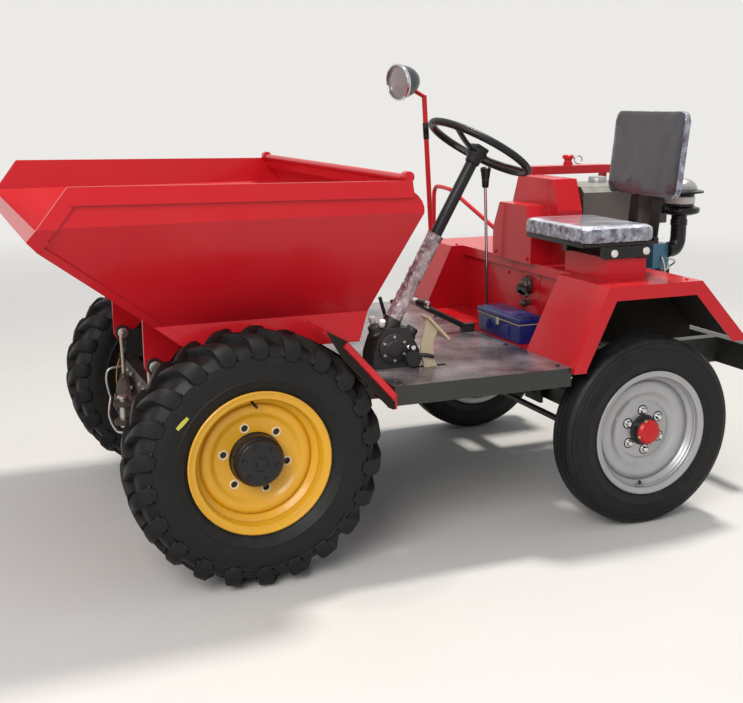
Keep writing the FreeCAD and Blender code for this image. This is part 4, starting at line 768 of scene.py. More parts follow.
class Repeats:
    """Trees that set copies of a small part round an axle or on marked places."""

    @staticmethod
    def _finish(host: Object, tree: Tree, values: dict[str, object]) -> Mesh:
        """Runs a tree on its host with named inputs and returns the realized mesh.

        Args:
            host: the object, which is removed.
            tree: the node tree.
            values: the inputs by name.

        Returns:
            The mesh.
        """
        modifier = host.modifiers.new("repeats", "NODES")
        modifier.node_group = tree
        sockets = {item.name: item.identifier for item in tree.interface.items_tree if item.in_out == "INPUT"}
        for name, value in values.items():
            modifier[sockets[name]] = value
        mesh = evaluated(host)
        bpy.data.objects.remove(host)
        return mesh

    @staticmethod
    def _tree(name: str, inputs: Sequence[tuple[str, str]]) -> tuple[Tree, Callable[..., bpy.types.Node]]:
        """A new tree with its geometry sockets, named inputs and a maker of nodes.

        Args:
            name: the tree's name.
            inputs: name and socket type of each.

        Returns:
            The tree and the maker.
        """
        tree = bpy.data.node_groups.new(name, "GeometryNodeTree")
        tree.interface.new_socket("Geometry", in_out="INPUT", socket_type="NodeSocketGeometry")
        for label, kind in inputs:
            tree.interface.new_socket(label, in_out="INPUT", socket_type=kind)
        tree.interface.new_socket("Geometry", in_out="OUTPUT", socket_type="NodeSocketGeometry")
        return tree, tree.nodes.new

    @classmethod
    def spin(cls, name: str, unit: Mesh, count: int, centre: Vector, finish: Finish,
             phase: float = 0.0) -> Mesh:
        """Copies a part made at the origin evenly round the Y axis, then moves all to an axle.

        Args:
            name: the result's name.
            unit: the part, placed for the first copy about the origin.
            count: how many copies.
            centre: the axle's point.
            finish: the material to set.
            phase: the first copy's turn in radians.

        Returns:
            The realized mesh.
        """
        tree, new = cls._tree("spin_" + name, (("Count", "NodeSocketInt"), ("Phase", "NodeSocketFloat"),
                                               ("Centre", "NodeSocketVector"),
                                               ("Finish", "NodeSocketMaterial")))
        entry, leave = new("NodeGroupInput"), new("NodeGroupOutput")
        points, index = new("GeometryNodePoints"), new("GeometryNodeInputIndex")
        share, turn = new("ShaderNodeMath"), new("ShaderNodeMath")
        share.operation, turn.operation = "DIVIDE", "MULTIPLY_ADD"
        turn.inputs[1].default_value = 2 * math.pi
        angles, copies = new("ShaderNodeCombineXYZ"), new("GeometryNodeInstanceOnPoints")
        real, move = new("GeometryNodeRealizeInstances"), new("GeometryNodeTransform")
        paint = new("GeometryNodeSetMaterial")
        link = tree.links.new
        link(entry.outputs["Count"], points.inputs["Count"])
        link(index.outputs[0], share.inputs[0])
        link(entry.outputs["Count"], share.inputs[1])
        link(share.outputs[0], turn.inputs[0])
        link(entry.outputs["Phase"], turn.inputs[2])
        link(turn.outputs[0], angles.inputs["Y"])
        link(points.outputs[0], copies.inputs["Points"])
        link(entry.outputs["Geometry"], copies.inputs["Instance"])
        link(angles.outputs[0], copies.inputs["Rotation"])
        link(copies.outputs[0], move.inputs["Geometry"])
        link(entry.outputs["Centre"], move.inputs["Translation"])
        link(move.outputs[0], real.inputs[0])
        link(real.outputs[0], paint.inputs["Geometry"])
        link(entry.outputs["Finish"], paint.inputs["Material"])
        link(paint.outputs[0], leave.inputs[0])
        host = placed(name + "_unit", unit)
        return cls._finish(host, tree, {"Count": count, "Phase": phase, "Centre": tuple(centre),
                                        "Finish": finish.make()})

    @classmethod
    def on_places(cls, name: str, unit: Mesh, places: Sequence[tuple[Vector, Vector]],
                  finish: Finish) -> Mesh:
        """Sets a part at each place with its local Z along the place's direction.

        Args:
            name: the result's name.
            unit: the part, standing on the local XY plane.
            places: pairs of point and direction.
            finish: the material to set.

        Returns:
            The realized mesh.
        """
        tree, new = cls._tree("places_" + name, (("Unit", "NodeSocketObject"),
                                                 ("Finish", "NodeSocketMaterial")))
        entry, leave = new("NodeGroupInput"), new("NodeGroupOutput")
        info, way = new("GeometryNodeObjectInfo"), new("GeometryNodeInputNamedAttribute")
        way.data_type = "FLOAT_VECTOR"
        way.inputs["Name"].default_value = "way"
        align = new("FunctionNodeAlignRotationToVector")
        align.axis = "Z"
        points, copies = new("GeometryNodeMeshToPoints"), new("GeometryNodeInstanceOnPoints")
        real, paint = new("GeometryNodeRealizeInstances"), new("GeometryNodeSetMaterial")
        link = tree.links.new
        link(entry.outputs["Unit"], info.inputs["Object"])
        link(entry.outputs["Geometry"], points.inputs[0])
        link(points.outputs[0], copies.inputs["Points"])
        link(info.outputs["Geometry"], copies.inputs["Instance"])
        link(way.outputs["Attribute"], align.inputs["Vector"])
        link(align.outputs[0], copies.inputs["Rotation"])
        link(copies.outputs[0], real.inputs[0])
        link(real.outputs[0], paint.inputs["Geometry"])
        link(entry.outputs["Finish"], paint.inputs["Material"])
        link(paint.outputs[0], leave.inputs[0])
        mesh = bpy.data.meshes.new(name + "_places")
        mesh.from_pydata([tuple(at) for at, _ in places], [], [])
        ways = mesh.attributes.new("way", "FLOAT_VECTOR", "POINT")
        for item, (_, direction) in zip(ways.data, places):
            item.vector = direction
        host, part = placed(name + "_host", mesh), placed(name + "_unit", unit)
        result = cls._finish(host, tree, {"Unit": part, "Finish": finish.make()})
        bpy.data.objects.remove(part)
        return result


def bolts(name: str, places: Sequence[tuple[Vector, Vector]], size: float, finish: Finish = ZINC) -> Object:
    """Hexagon bolts on places of the chassis."""
    mesh = Repeats.on_places(name, hex_head(size, size * 0.9, size * 1.45), places, finish)
    return add_piece(name, mesh, finish, Slot.CHROME)


# Tyres and wheels


@dataclass
class LuggedTyre:
    """A front drive tyre: a smooth carcass with two rows of slanted bars.

    Args:
        side: 1 for the left tyre, -1 for the right one.
    """

    side: int
    lug_height: float = 0.027
    lug_count: int = 22
    sweep: float = 0.076
    bead_radius: float = 0.226
    crown: float = 0.055

    def __post_init__(self) -> None:
        """Reads the tyre's place and size from the frame."""
        self.word = "left" if self.side > 0 else "right"
        low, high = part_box("front_tyre_" + self.word)
        self.centre = (low + high) / 2
        self.radius = (high.z - low.z) / 2
        self.half = (high.y - low.y) / 2
        self.base = self.radius - self.lug_height

    def carcass(self) -> Mesh:
        """The carcass with its bead, sidewall rings and rounded shoulders.

        Returns:
            The mesh.
        """
        w, b = self.half, self.base
        half = [(0.2035, 0.06), (0.2045, 0.077), (self.bead_radius + 0.001, 0.0775),
                (self.bead_radius + 0.007, 0.0815), (0.2345, 0.08), (0.242, 0.0865), (0.262, 0.0955),
                (0.2645, 0.0975), (0.2675, 0.096), (0.292, w - 0.0035), (0.315, w - 0.0025),
                (0.333, w - 0.006), (0.3355, w - 0.0045), (0.3385, w - 0.008), (b - 0.018, w - 0.015),
                (b - 0.008, w - 0.026), (b - 0.001, w - 0.048), (b, w - 0.075)]
        profile = half + [(r, -h) for r, h in half[::-1]]
        return lathe([(profile, self.centre, LEFT)], 96)

    def bar(self, row: int) -> Mesh:
        """One tread bar at the top of the tyre, running from the middle to the shoulder and down the sidewall.

        Args:
            row: 1 for the outer row and -1 for the inner one, as seen along Y.

        Returns:
            The bar's mesh.
        """
        w, r = self.half, self.radius
        # Distance across the tread, radius of the bar's top and half its thickness
        path = [(-0.006, r - 0.0015, 0.0095), (0.012, r, 0.0105), (0.034, r, 0.012),
                (0.056, r - 0.001, 0.0155), (0.074, r - 0.005, 0.0195), (0.088, r - 0.013, 0.0235),
                (0.0965, r - 0.026, 0.0262), (w, r - 0.046, 0.0268), (w - 0.001, r - 0.062, 0.0232),
                (w - 0.0022, r - 0.076, 0.015)]
        shape = bmesh.new()
        rows = []
        for across, top, half in path:
            share = max(0.0, across) / w
            slide = 0.02 - self.sweep * min(1.0, share) ** 0.8
            floor = self._floor(across)
            inset = 0.0025
            section = [(-half - 0.007, floor - 0.003), (-half - 0.002, (floor + top) / 2),
                       (-half, top - inset), (-half + inset, top), (half - inset, top), (half, top - inset),
                       (half + 0.002, (floor + top) / 2), (half + 0.007, floor - 0.003)]
            if across > 0.09:
                section = [(u, max(z, 0.0)) for u, z in section]
            rows.append([shape.verts.new(self._wrap(u + slide, row * self._out(across, z, top), z))
                         for u, z in section])
        bridge(shape, rows, capped=True)
        return mesh_of(shape)

    def _floor(self, across: float) -> float:
        """The carcass's radius under a bar."""
        fall = max(0.0, across - self.crown) / 0.045
        return self.base - 0.03 * fall ** 1.5

    def _out(self, across: float, height: float, top: float) -> float:
        """How far out a bar's point lies: its foot hugs the shoulder."""
        tuck = 0.006 if height < top - 0.006 and across > 0.07 else 0.0
        return across - tuck

    def _wrap(self, along: float, across: float, radius: float) -> Vector:
        """Wraps a point along the tread round the wheel's axis."""
        angle = along / self.base
        return Vector((radius * math.sin(angle), across, radius * math.cos(angle)))

    def build(self) -> None:
        """Makes the tyre, in place of its CAD node."""
        outer, inner = (Repeats.spin("front_bars", self.bar(row), self.lug_count, self.centre, RUBBER, phase)
                        for row, phase in ((1, math.pi / self.lug_count), (-1, 0.0)))
        add_piece("dressed_front_tyre_" + self.word, joined(self.carcass(), outer, inner), RUBBER, Slot.TYRE,
                  "front_tyre_" + self.word, body="front_wheel_" + self.word)
        LOG.info("front tyre %s", self.word)


@dataclass
class RibbedTyre:
    """A rear steering tyre with straight ribs round the tread.

    Args:
        side: 1 for the left tyre, -1 for the right one.
    """

    side: int
    groove_depth: float = 0.007
    groove_half: float = 0.003

    def build(self) -> None:
        """Makes the tyre, in place of its CAD node."""
        word = "left" if self.side > 0 else "right"
        low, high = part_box("rear_tyre_" + word)
        centre = (low + high) / 2
        r = (high.z - low.z) / 2
        w = (high.y - low.y) / 2
        half = [(0.2035, 0.045), (0.2045, 0.0555), (0.223, 0.056), (0.228, 0.06), (0.2315, 0.0585),
                (0.238, 0.061), (0.256, w - 0.0015), (0.258, w), (0.2605, w - 0.0008), (0.285, w),
                (0.3, w - 0.0015), (0.3015, w - 0.0035), (0.3045, w - 0.0035), (0.306, w - 0.0025),
                (0.317, w - 0.007), (0.319, w - 0.0105), (0.322, w - 0.01), (r - 0.0085, w - 0.0155),
                (r - 0.004, w - 0.022)]
        for middle in (0.0335, 0.0115):
            lift = 0.0022 if middle > 0.02 else 0.0006
            half += [(r - lift, middle + self.groove_half + 0.001),
                     (r - self.groove_depth, middle + self.groove_half),
                     (r - self.groove_depth, middle - self.groove_half),
                     (r - lift, middle - self.groove_half - 0.001)]
        half.append((r, 0.004))
        profile = half + [(a, -b) for a, b in half[::-1]]
        mesh = lathe([(profile, centre, LEFT)], 110)
        add_piece("dressed_rear_tyre_" + word, mesh, RUBBER, Slot.TYRE, "rear_tyre_" + word,
                  body="rear_wheel_" + word)
        LOG.info("rear tyre %s", word)


@dataclass
class FrontWheel:
    """The dished yellow wheel with its six holes and the black drive hub.

    Args:
        side: 1 for the left wheel, -1 for the right one.
    """

    side: int
    hole_circle: float = 0.103
    hole_radius: float = 0.0108
    hub_radius: float = 0.081
    hub_face: float = 0.08

    def __post_init__(self) -> None:
        """Reads the wheel's place from the frame."""
        self.word = "left" if self.side > 0 else "right"
        low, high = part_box("front_tyre_" + self.word)
        self.centre = (low + high) / 2
        self.way = Vector((0, self.side, 0))
        self.body = "front_wheel_" + self.word

    def rim(self) -> Mesh:
        """The rim's rolled flanges, seats and well, with the dished disc in it.

        Returns:
            The mesh.
        """
        rim = [(0.2225, 0.0862), (0.2268, 0.084), (0.2272, 0.08), (0.2235, 0.0772), (0.206, 0.0764),
               (0.2036, 0.0715), (0.2032, 0.047), (0.192, 0.0385), (0.1834, 0.03), (0.1834, -0.053),
               (0.2032, -0.067), (0.2036, -0.078), (0.224, -0.079), (0.2268, -0.083), (0.2225, -0.0858),
               (0.212, -0.0822), (0.1975, -0.08), (0.1968, -0.065), (0.1772, -0.054), (0.1772, 0.027),
               (0.18, 0.0322), (0.1885, 0.0385), (0.1965, 0.044), (0.1975, 0.052), (0.1948, 0.056),
               (0.1948, 0.06), (0.1982, 0.065), (0.199, 0.0745), (0.203, 0.0795), (0.214, 0.0812)]
        disc = [(0.1772, 0.018), (0.1772, 0.0262), (0.1735, 0.0318), (0.166, 0.0348), (0.156, 0.0352),
                (0.147, 0.0328), (0.14, 0.0275), (0.134, 0.0228), (0.127, 0.02), (0.074, 0.019),
                (0.074, 0.01), (0.128, 0.0115), (0.135, 0.014), (0.142, 0.0195), (0.15, 0.025),
                (0.159, 0.0268), (0.166, 0.0255), (0.17, 0.018)]
        solid = lathe([(disc, self.centre, self.way)], 96)
        hole = lathe([(rod_profile(self.hole_radius, 0.06), ORIGIN, UP)], 20)
        cutter = Repeats.spin("front_holes", self.unit(hole, self.hole_circle, -0.01), 6, self.centre,
                              YELLOW_PAINT, math.radians(18))
        cut = carved(solid, cutter)
        return joined(lathe([(rim, self.centre, self.way)], 96), cut)

    def unit(self, mesh: Mesh, radius: float, out: float) -> Mesh:
        """Sets a part that stands on the local XY plane on the wheel's face, at a radius above the axle."""
        mesh.transform(axis_place(Vector((0, self.side * out, radius)), self.way))
        return mesh

    def hub(self) -> Mesh:
        """The black hub with its chamfered end and plug, the brake drum, and a dark ring over the rim's inner
        side that is painted shade.

        Returns:
            The mesh.
        """
        face = self.hub_face
        boss = [(0.0, 0.018), (0.084, 0.018), (0.0845, 0.023), (self.hub_radius, 0.027),
                (self.hub_radius, 0.058), (0.0785, 0.0635), (0.073, 0.0675), (0.0705, 0.072),
                (0.07, face - 0.002), (0.068, face), (0.026, face), (0.0245, face - 0.003),
                (0.017, face - 0.003), (0.0155, face + 0.001), (0.0, face + 0.001)]
        drum = [(0.031, -0.146), (0.1105, -0.146), (0.112, -0.144), (0.112, -0.128), (0.109, -0.126),
                (0.109, -0.118), (0.112, -0.116), (0.112, -0.062), (0.1095, -0.059), (0.076, -0.041),
                (0.074, -0.006), (0.117, -0.006), (0.118, 0.0085), (0.116, 0.01), (0.03, 0.018)]
        # Painted shade: a dark ring that darkens the rim's inner flange and seat.
        shade_ring = [(0.126, -0.086), (0.15, -0.092), (0.205, -0.0965), (0.2235, -0.095), (0.2262, -0.0925),
                  (0.2245, -0.089), (0.205, -0.09), (0.15, -0.086), (0.126, -0.08)]
        return lathe([(outline, self.centre, self.way) for outline in (boss, drum, shade_ring)], 72)

    def build(self) -> None:
        """Makes the wheel, in place of its CAD node."""
        add_piece("dressed_front_rim_" + self.word, self.rim(), YELLOW_PAINT, Slot.YELLOW,
                  "front_wheel_" + self.word, body=self.body, sharp=40)
        add_piece("front_hub_" + self.word, self.hub(), BLACK_GLOSS, Slot.BLACK, body=self.body, sharp=30)
        ring = lathe([([(0.0107, -0.003), (0.016, -0.001), (0.016, 0.0006), (0.0138, 0.0022),
                        (0.0107, 0.001)], ORIGIN, UP)], 24)
        rings = Repeats.spin("hole_rings", self.unit(ring, self.hole_circle, 0.0192), 6, self.centre,
                             WORN_RING, math.radians(18))
        add_piece("hole_rings_" + self.word, rings, WORN_RING, Slot.YELLOW, body=self.body)
        screw = Repeats.spin("hub_screws", self.unit(hex_head(0.0075, 0.007, 0.0095), 0.0535,
                                                     self.hub_face - 0.001), 6, self.centre, BLACK_GLOSS, 0.3)
        add_piece("hub_screws_" + self.word, screw, BLACK_GLOSS, Slot.BLACK, body=self.body)
        valve = tube([([self.point(0.187, 4, 0.036), self.point(0.184, 4, 0.05), self.point(0.171, 1, 0.062)],
                       0.0042)])
        add_piece("front_valve_" + self.word, valve, RUBBER, Slot.BLACK, body=self.body)
        if self.side > 0:
            self.mark()

    def mark(self) -> None:
        """The dab of yellow paint on the left tyre's sidewall."""
        first, last = station(0.256, 0.7165, 0.545), station(0.222, 0.7165, 0.577)
        across = (last - first).cross(LEFT).normalized() * 0.0055
        shape = bmesh.new()
        outline = [first - across, first.lerp(last, 0.5) - across * 1.25, last - across, last + across * 0.8,
                   first.lerp(last, 0.5) + across * 1.1, first + across]
        slab_into(shape, outline, Vector((0, 0.003, 0)), 0.0008, 2)
        add_piece("yellow_mark", shape, MARK_PAINT, Slot.YELLOW, body=self.body)

    def point(self, radius: float, degrees: float, out: float) -> Vector:
        """A point on the wheel from its radius, its turn from the top and its place along the axle."""
        a = math.radians(degrees)
        return self.centre + Vector((radius * math.sin(a), self.side * out, radius * math.cos(a)))


@dataclass
class RearWheel:
    """The silver pressed wheel with its nuts and the red hub cap.

    Args:
        side: 1 for the left wheel, -1 for the right one.
    """

    side: int
    nut_circle: float = 0.072
    cap_radius: float = 0.042

    def build(self) -> None:
        """Makes the wheel, in place of its CAD node."""
        word = "left" if self.side > 0 else "right"
        low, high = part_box("rear_tyre_" + word)
        centre = (low + high) / 2
        way = Vector((0, self.side, 0))
        body = "rear_wheel_" + word
        rim = [(0.2175, 0.0628), (0.2222, 0.0612), (0.2228, 0.0575), (0.219, 0.0555), (0.2045, 0.055),
               (0.2032, 0.05), (0.203, 0.032), (0.195, 0.0255), (0.1864, 0.019), (0.1864, -0.039),
               (0.203, -0.049), (0.2034, -0.0555), (0.22, -0.0562), (0.2225, -0.0595), (0.2175, -0.0622),
               (0.206, -0.0602), (0.198, -0.057), (0.1976, -0.047), (0.1812, -0.037), (0.1812, 0.0165),
               (0.184, 0.0212), (0.1915, 0.0262), (0.1978, 0.0318), (0.199, 0.036), (0.196, 0.0385),
               (0.196, 0.041), (0.1988, 0.044), (0.1988, 0.05), (0.202, 0.056), (0.209, 0.0585)]
        disc = [(0.1812, 0.008), (0.1812, 0.014), (0.1775, 0.0185), (0.17, 0.022), (0.16, 0.024),
                (0.148, 0.024), (0.14, 0.0215), (0.13, 0.014), (0.12, 0.008), (0.112, 0.0062),
                (0.105, 0.0072), (0.101, 0.0098), (0.0965, 0.011), (0.064, 0.0118), (0.04, 0.0118),
                (0.04, 0.005), (0.094, 0.0048), (0.1, 0.003), (0.11, -0.0005), (0.12, 0.001), (0.131, 0.0075),
                (0.142, 0.0155), (0.15, 0.0175), (0.16, 0.0172), (0.169, 0.015), (0.174, 0.009)]
        add_piece("dressed_rear_rim_" + word, lathe([(rim, centre, way), (disc, centre, way)], 96),
                  SILVER_PAINT, Slot.SILVER, "rear_wheel_" + word, body=body, sharp=40)
        hub = [(0.0195, -0.056), (0.051, -0.056), (0.052, -0.055), (0.052, -0.02), (0.06, -0.01),
               (0.06, 0.004), (0.05, 0.0118), (0.0545, 0.0125), (0.055, 0.015), (0.047, 0.019),
               (0.0455, 0.023), (0.0455, 0.04), (0.0445, 0.0415), (0.01, 0.0415)]
        add_piece("rear_hub_" + word, lathe([(hub, centre, way)], 56), BLACK_GLOSS, Slot.BLACK, body=body)
        r = self.cap_radius
        cap = [(0.0, 0.0405), (r + 0.0015, 0.0405), (r + 0.002, 0.042), (r + 0.002, 0.048), (r, 0.05),
               (r - 0.002, 0.054), (r - 0.008, 0.058), (r - 0.02, 0.0602), (0.0, 0.0608)]
        notch = bmesh.new()
        box_into(notch, Vector((-0.0055, -0.0055, 0.0)), Vector((0.0055, 0.0055, 0.03)), 0.0)
        unit = mesh_of(notch)
        unit.transform(axis_place(Vector((0, self.side * 0.047, r)), way))
        notches = Repeats.spin("cap_notches", unit, 4, centre, RED_PAINT, 0.35)
        add_piece("hub_cap_" + word, carved(lathe([(cap, centre, way)], 48), notches), RED_PAINT, Slot.RED,
                  body=body, sharp=30)
        dome = lathe([([(0.0, 0.0), (0.015, 0.0), (0.0152, 0.002), (0.0105, 0.003), (0.0102, 0.012),
                        (0.008, 0.0165), (0.004, 0.0185), (0.0, 0.019)], ORIGIN, UP)], 20)
        mark = lathe([([(0.014, 0.0), (0.0195, 0.0), (0.0195, 0.0008), (0.014, 0.001)], ORIGIN, UP)], 24)
        units = (("cap_screws_", BRASS, hex_head(0.005, 0.0055, 0.0068), r - 0.001, 0.0462, 4, 0.35),
                 ("wheel_nuts_", BRIGHT_ROD, dome, self.nut_circle, 0.0112, 6, 0.1),
                 ("nut_marks_", CAST_BLACK, mark, self.nut_circle, 0.0114, 6, 0.1))
        for name, finish, unit, radius, out, count, phase in units:
            unit.transform(axis_place(Vector((0, self.side * out, radius)), way))
            add_piece(name + word, Repeats.spin(name, unit, count, centre, finish, phase), finish,
                      Slot.CHROME, body=body)
        valve = tube([([centre + Vector((x, self.side * y, z)) for x, y, z in ((0.016, 0.026, -0.186),
                                                                               (0.018, 0.042, -0.184),
                                                                               (0.036, 0.056, -0.181))],
                       0.0042)])
        add_piece("rear_valve_" + word, valve, RUBBER, Slot.BLACK, body=body)
        LOG.info("rear wheel %s", word)


# Soft pads


@dataclass
class Pad:
    """A board cushion in clear film: swollen by cloth under pressure, with a crinkled skirt.

    Args:
        name: the piece's name.
        node: the CAD solid that it replaces.
        size: length, width and thickness before it swells.
        place: carries the pad from its own frame, lying on XY, to the object's frame.
        finish: the face's material.
        rim: the material of the crinkled sides.
        corner: radius of the corners in plan.
        cap: how far a point may swell.
        crinkle: height of the skirt's creases.
        rounding: radius of the board's edges.
        soft_crease: height of the face's soft waves.
        voxel: spacing of the points that the cloth moves.
        frames, pressure: the cloth's steps and the air in it.
    """

    name: str
    node: str
    size: tuple[float, float, float]
    place: Matrix
    finish: Finish
    rim: Finish
    corner: float = 0.026
    cap: float = 0.007
    crinkle: float = 0.0022
    rounding: float = 0.008
    soft_crease: float = 0.0012
    voxel: float = 0.005
    frames: int = 20
    pressure: float = 4.0

    def block(self) -> Mesh:
        """The plain rounded board.

        Returns:
            The mesh.
        """
        length, width, thick = self.size
        outline = []
        for sx, sy, start in ((1, 1, 0), (-1, 1, 90), (-1, -1, 180), (1, -1, 270)):
            middle = Vector((sx * (length / 2 - self.corner), sy * (width / 2 - self.corner), 0))
            for step in range(7):
                a = math.radians(start + 15 * step)
                outline.append(middle + Vector((self.corner * math.cos(a), self.corner * math.sin(a), 0)))
        shape = bmesh.new()
        slab_into(shape, outline, Vector((0, 0, thick)), self.rounding, 3)
        return mesh_of(shape)

    def swollen(self) -> Mesh:
        """The board remeshed and puffed up, with each point's motion capped.

        Returns:
            The mesh.
        """
        holder = placed(self.name + "_sim", self.block())
        remesh = holder.modifiers.new("remesh", "REMESH")
        remesh.mode = "VOXEL"
        remesh.voxel_size = self.voxel
        base = evaluated(holder)
        holder.modifiers.clear()
        holder.data = base
        rest = [vertex.co.copy() for vertex in base.vertices]
        result = base
        cloth = holder.modifiers.new("cloth", "CLOTH")
        cloth.settings.use_pressure = True
        cloth.settings.uniform_pressure_force = self.pressure
        cloth.settings.effector_weights.gravity = 0.0
        for step in range(1, self.frames + 1):
            bpy.context.scene.frame_set(step)
        result = evaluated(holder)
        bpy.context.scene.frame_set(1)
        for vertex, start in zip(result.vertices, rest):
            move = vertex.co - start
            if move.length > self.cap:
                vertex.co = start + move.normalized() * self.cap
        bpy.data.objects.remove(holder)
        return result

    def build(self) -> None:
        """Makes the pad in place of its CAD solid."""
        mesh = self.swollen()
        _, _, thick = self.size
        for vertex, normal in zip(mesh.vertices, [item.vector.copy() for item in mesh.vertex_normals]):
            x, y, z = vertex.co
            z = max(z, 0.001)
            upright = 1.0 - abs(normal.z)
            crease = field_noise(Vector(((x + y) * 62.0 + z * 46.0, z * 14.0, x * 9.0)))
            soft = field_noise(Vector((x * 17.0, y * 17.0, 3.0)))
            shift = normal * (upright * self.crinkle * crease + (1.0 - upright) * self.soft_crease * soft)
            edge = 1.0 if z > 0.004 else 0.0
            vertex.co = Vector((x, y, z)) + shift * edge
        sides = [1 if abs(polygon.normal.z) < 0.75 else 0 for polygon in mesh.polygons]
        mesh.transform(self.place)
        piece = add_piece(self.name, mesh, self.finish, Slot.VINYL, self.node, sharp=80)
        mesh.materials.append(self.rim.make())
        mesh.polygons.foreach_set("material_index", sides)
        smooth = piece.modifiers.new("finer", "SUBSURF")
        smooth.levels = 1
        smooth.render_levels = 1
        LOG.info("pad %s", self.name)


def field_noise(at: Vector) -> float:
    """A fixed field of soft noise, from about -1 to 1."""
    return mathutils.noise.noise(at)


@dataclass
class Seat:
    """The wrapped cushion and back with their pan, studs and strap."""

    cushion_middle: Point = (-1.3165, 0.409, 0.9985)
    cushion_size: tuple[float, float, float] = (0.297, 0.42, 0.05)
    back_foot: Point = (-1.524, 0.409, 1.126)
    back_head: Point = (-1.556, 0.409, 1.449)
    back_size: tuple[float, float, float] = (0.308, 0.422, 0.026)

    def back_place(self) -> Matrix:
        """Carries the back's pad from lying on XY to the leaning back's front side.

        Returns:
            The placing.
        """
        foot, head = station(*self.back_foot), station(*self.back_head)
        up = (head - foot).normalized()
        out = up.cross(LEFT) * -1.0
        middle = (foot + head) / 2 - out * 0.031
        return Matrix.Translation(middle) @ Matrix((up, LEFT * -1.0, out)).transposed().to_4x4()

    def build(self) -> None:
        """Makes both pads, the pan's rolled edge and the studs."""
        Pad("wrapped_cushion", "seat_cushion", self.cushion_size,
            Matrix.Translation(station(*self.cushion_middle)), FILM_TOP_PAINTED_REFLECTION, FILM_EDGE_PAINTED_HIGHLIGHT).build()
        Pad("wrapped_back", "seat_back", self.back_size, self.back_place(), BACK_FILM, FILM_EDGE_PAINTED_HIGHLIGHT, corner=0.03,
            cap=0.004, crinkle=0.0012).build()
        shape = bmesh.new()
        low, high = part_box("seat_cushion")
        for x0, x1, z0, z1 in ((low.x - 0.006, low.x + 0.012, -0.013, 0.01),
                               (low.x + 0.008, high.x - 0.02, -0.012, -0.001)):
            box_into(shape, Vector((x0, low.y + 0.02, low.z + z0)), Vector((x1, high.y - 0.02, low.z + z1)),
                     0.004, 3)
        box_into(shape, station(-1.447, 0.5955, 0.941), station(-1.262, 0.6015, 0.9835), 0.002)
        box_into(shape, station(-1.452, 0.56, 0.938), station(-1.4, 0.598, 0.946), 0.002)
        add_piece("seat_pan_edge", shape, BLACK_GLOSS, Slot.BLACK)
        head = lathe([([(0.0, 0.0), (0.0125, 0.0), (0.0138, 0.0012), (0.0136, 0.0045), (0.011, 0.0072),
                        (0.0, 0.008)], ORIGIN, UP)], 24)
        studs = [(station(x, 0.6013, z), LEFT) for x, z in ((-1.302, 0.96), (-1.432, 0.963))]
        add_piece("seat_studs", Repeats.on_places("seat_studs", head, studs, WHITE_CAP), WHITE_CAP, Slot.PALE)
        LOG.info("seat")


@dataclass
class SteeringWheel:
    """A thick round rim on flat dished spokes, with a deep hub."""

    centre: Point = (-0.871, 0.42, 1.32)
    lean: tuple[float, float] = (-0.316, 0.56)
    radius: float = 0.192
    rim: float = 0.0138
    squash: float = 0.93

    def build(self) -> None:
        """Makes the wheel, in place of its CAD node."""
        way = Vector((self.lean[0], 0, self.lean[1])).normalized()
        at = station(*self.centre)
        place = axis_place(at, way)
        middle = self.radius - self.rim
        ring = [(middle + self.rim * math.cos(a), self.rim * self.squash * math.sin(a)) for a in turns(14)]
        hub = [(0.0, -0.06), (0.0225, -0.06), (0.025, -0.057), (0.026, -0.046), (0.03, -0.036),
               (0.033, -0.026), (0.0335, -0.012), (0.031, -0.006), (0.0, -0.0055)]
        shape = bmesh.new()
        lathe_into(shape, ring, place, 80)
        lathe_into(shape, hub, place, 40)
        for degrees in (0.0, 120.0, 240.0):
            a = math.radians(degrees)
            out, across = Vector((math.cos(a), math.sin(a), 0)), Vector((-math.sin(a), math.cos(a), 0))
            rows = []
            for reach, height, half in ((0.018, -0.02, 0.0185), (0.05, -0.021, 0.017), (0.1, -0.015, 0.015),
                                        (0.145, -0.006, 0.014), (middle - 0.002, -0.001, 0.015)):
                rows.append([shape.verts.new(place @ (out * reach + across * u + Vector((0, 0, height + v))))
                             for u, v in ((-half, -0.002), (-half * 0.8, 0.003), (half * 0.8, 0.003),
                                          (half, -0.002), (half * 0.6, -0.005), (-half * 0.6, -0.005))])
            bridge(shape, rows, capped=True)
        pad = bmesh.new()
        box_into(pad, Vector((-0.03, -0.024, -0.01)), Vector((0.03, 0.024, 0.004)), 0.005, 3)
        pad_mesh = mesh_of(pad)
        pad_mesh.transform(place)
        shape.from_mesh(pad_mesh)
        add_piece("dressed_steering_wheel", shape, BLACK_SATIN, Slot.BLACK, "steering_wheel",
                  body=Body.STEERING.value, sharp=40)
        LOG.info("steering wheel")


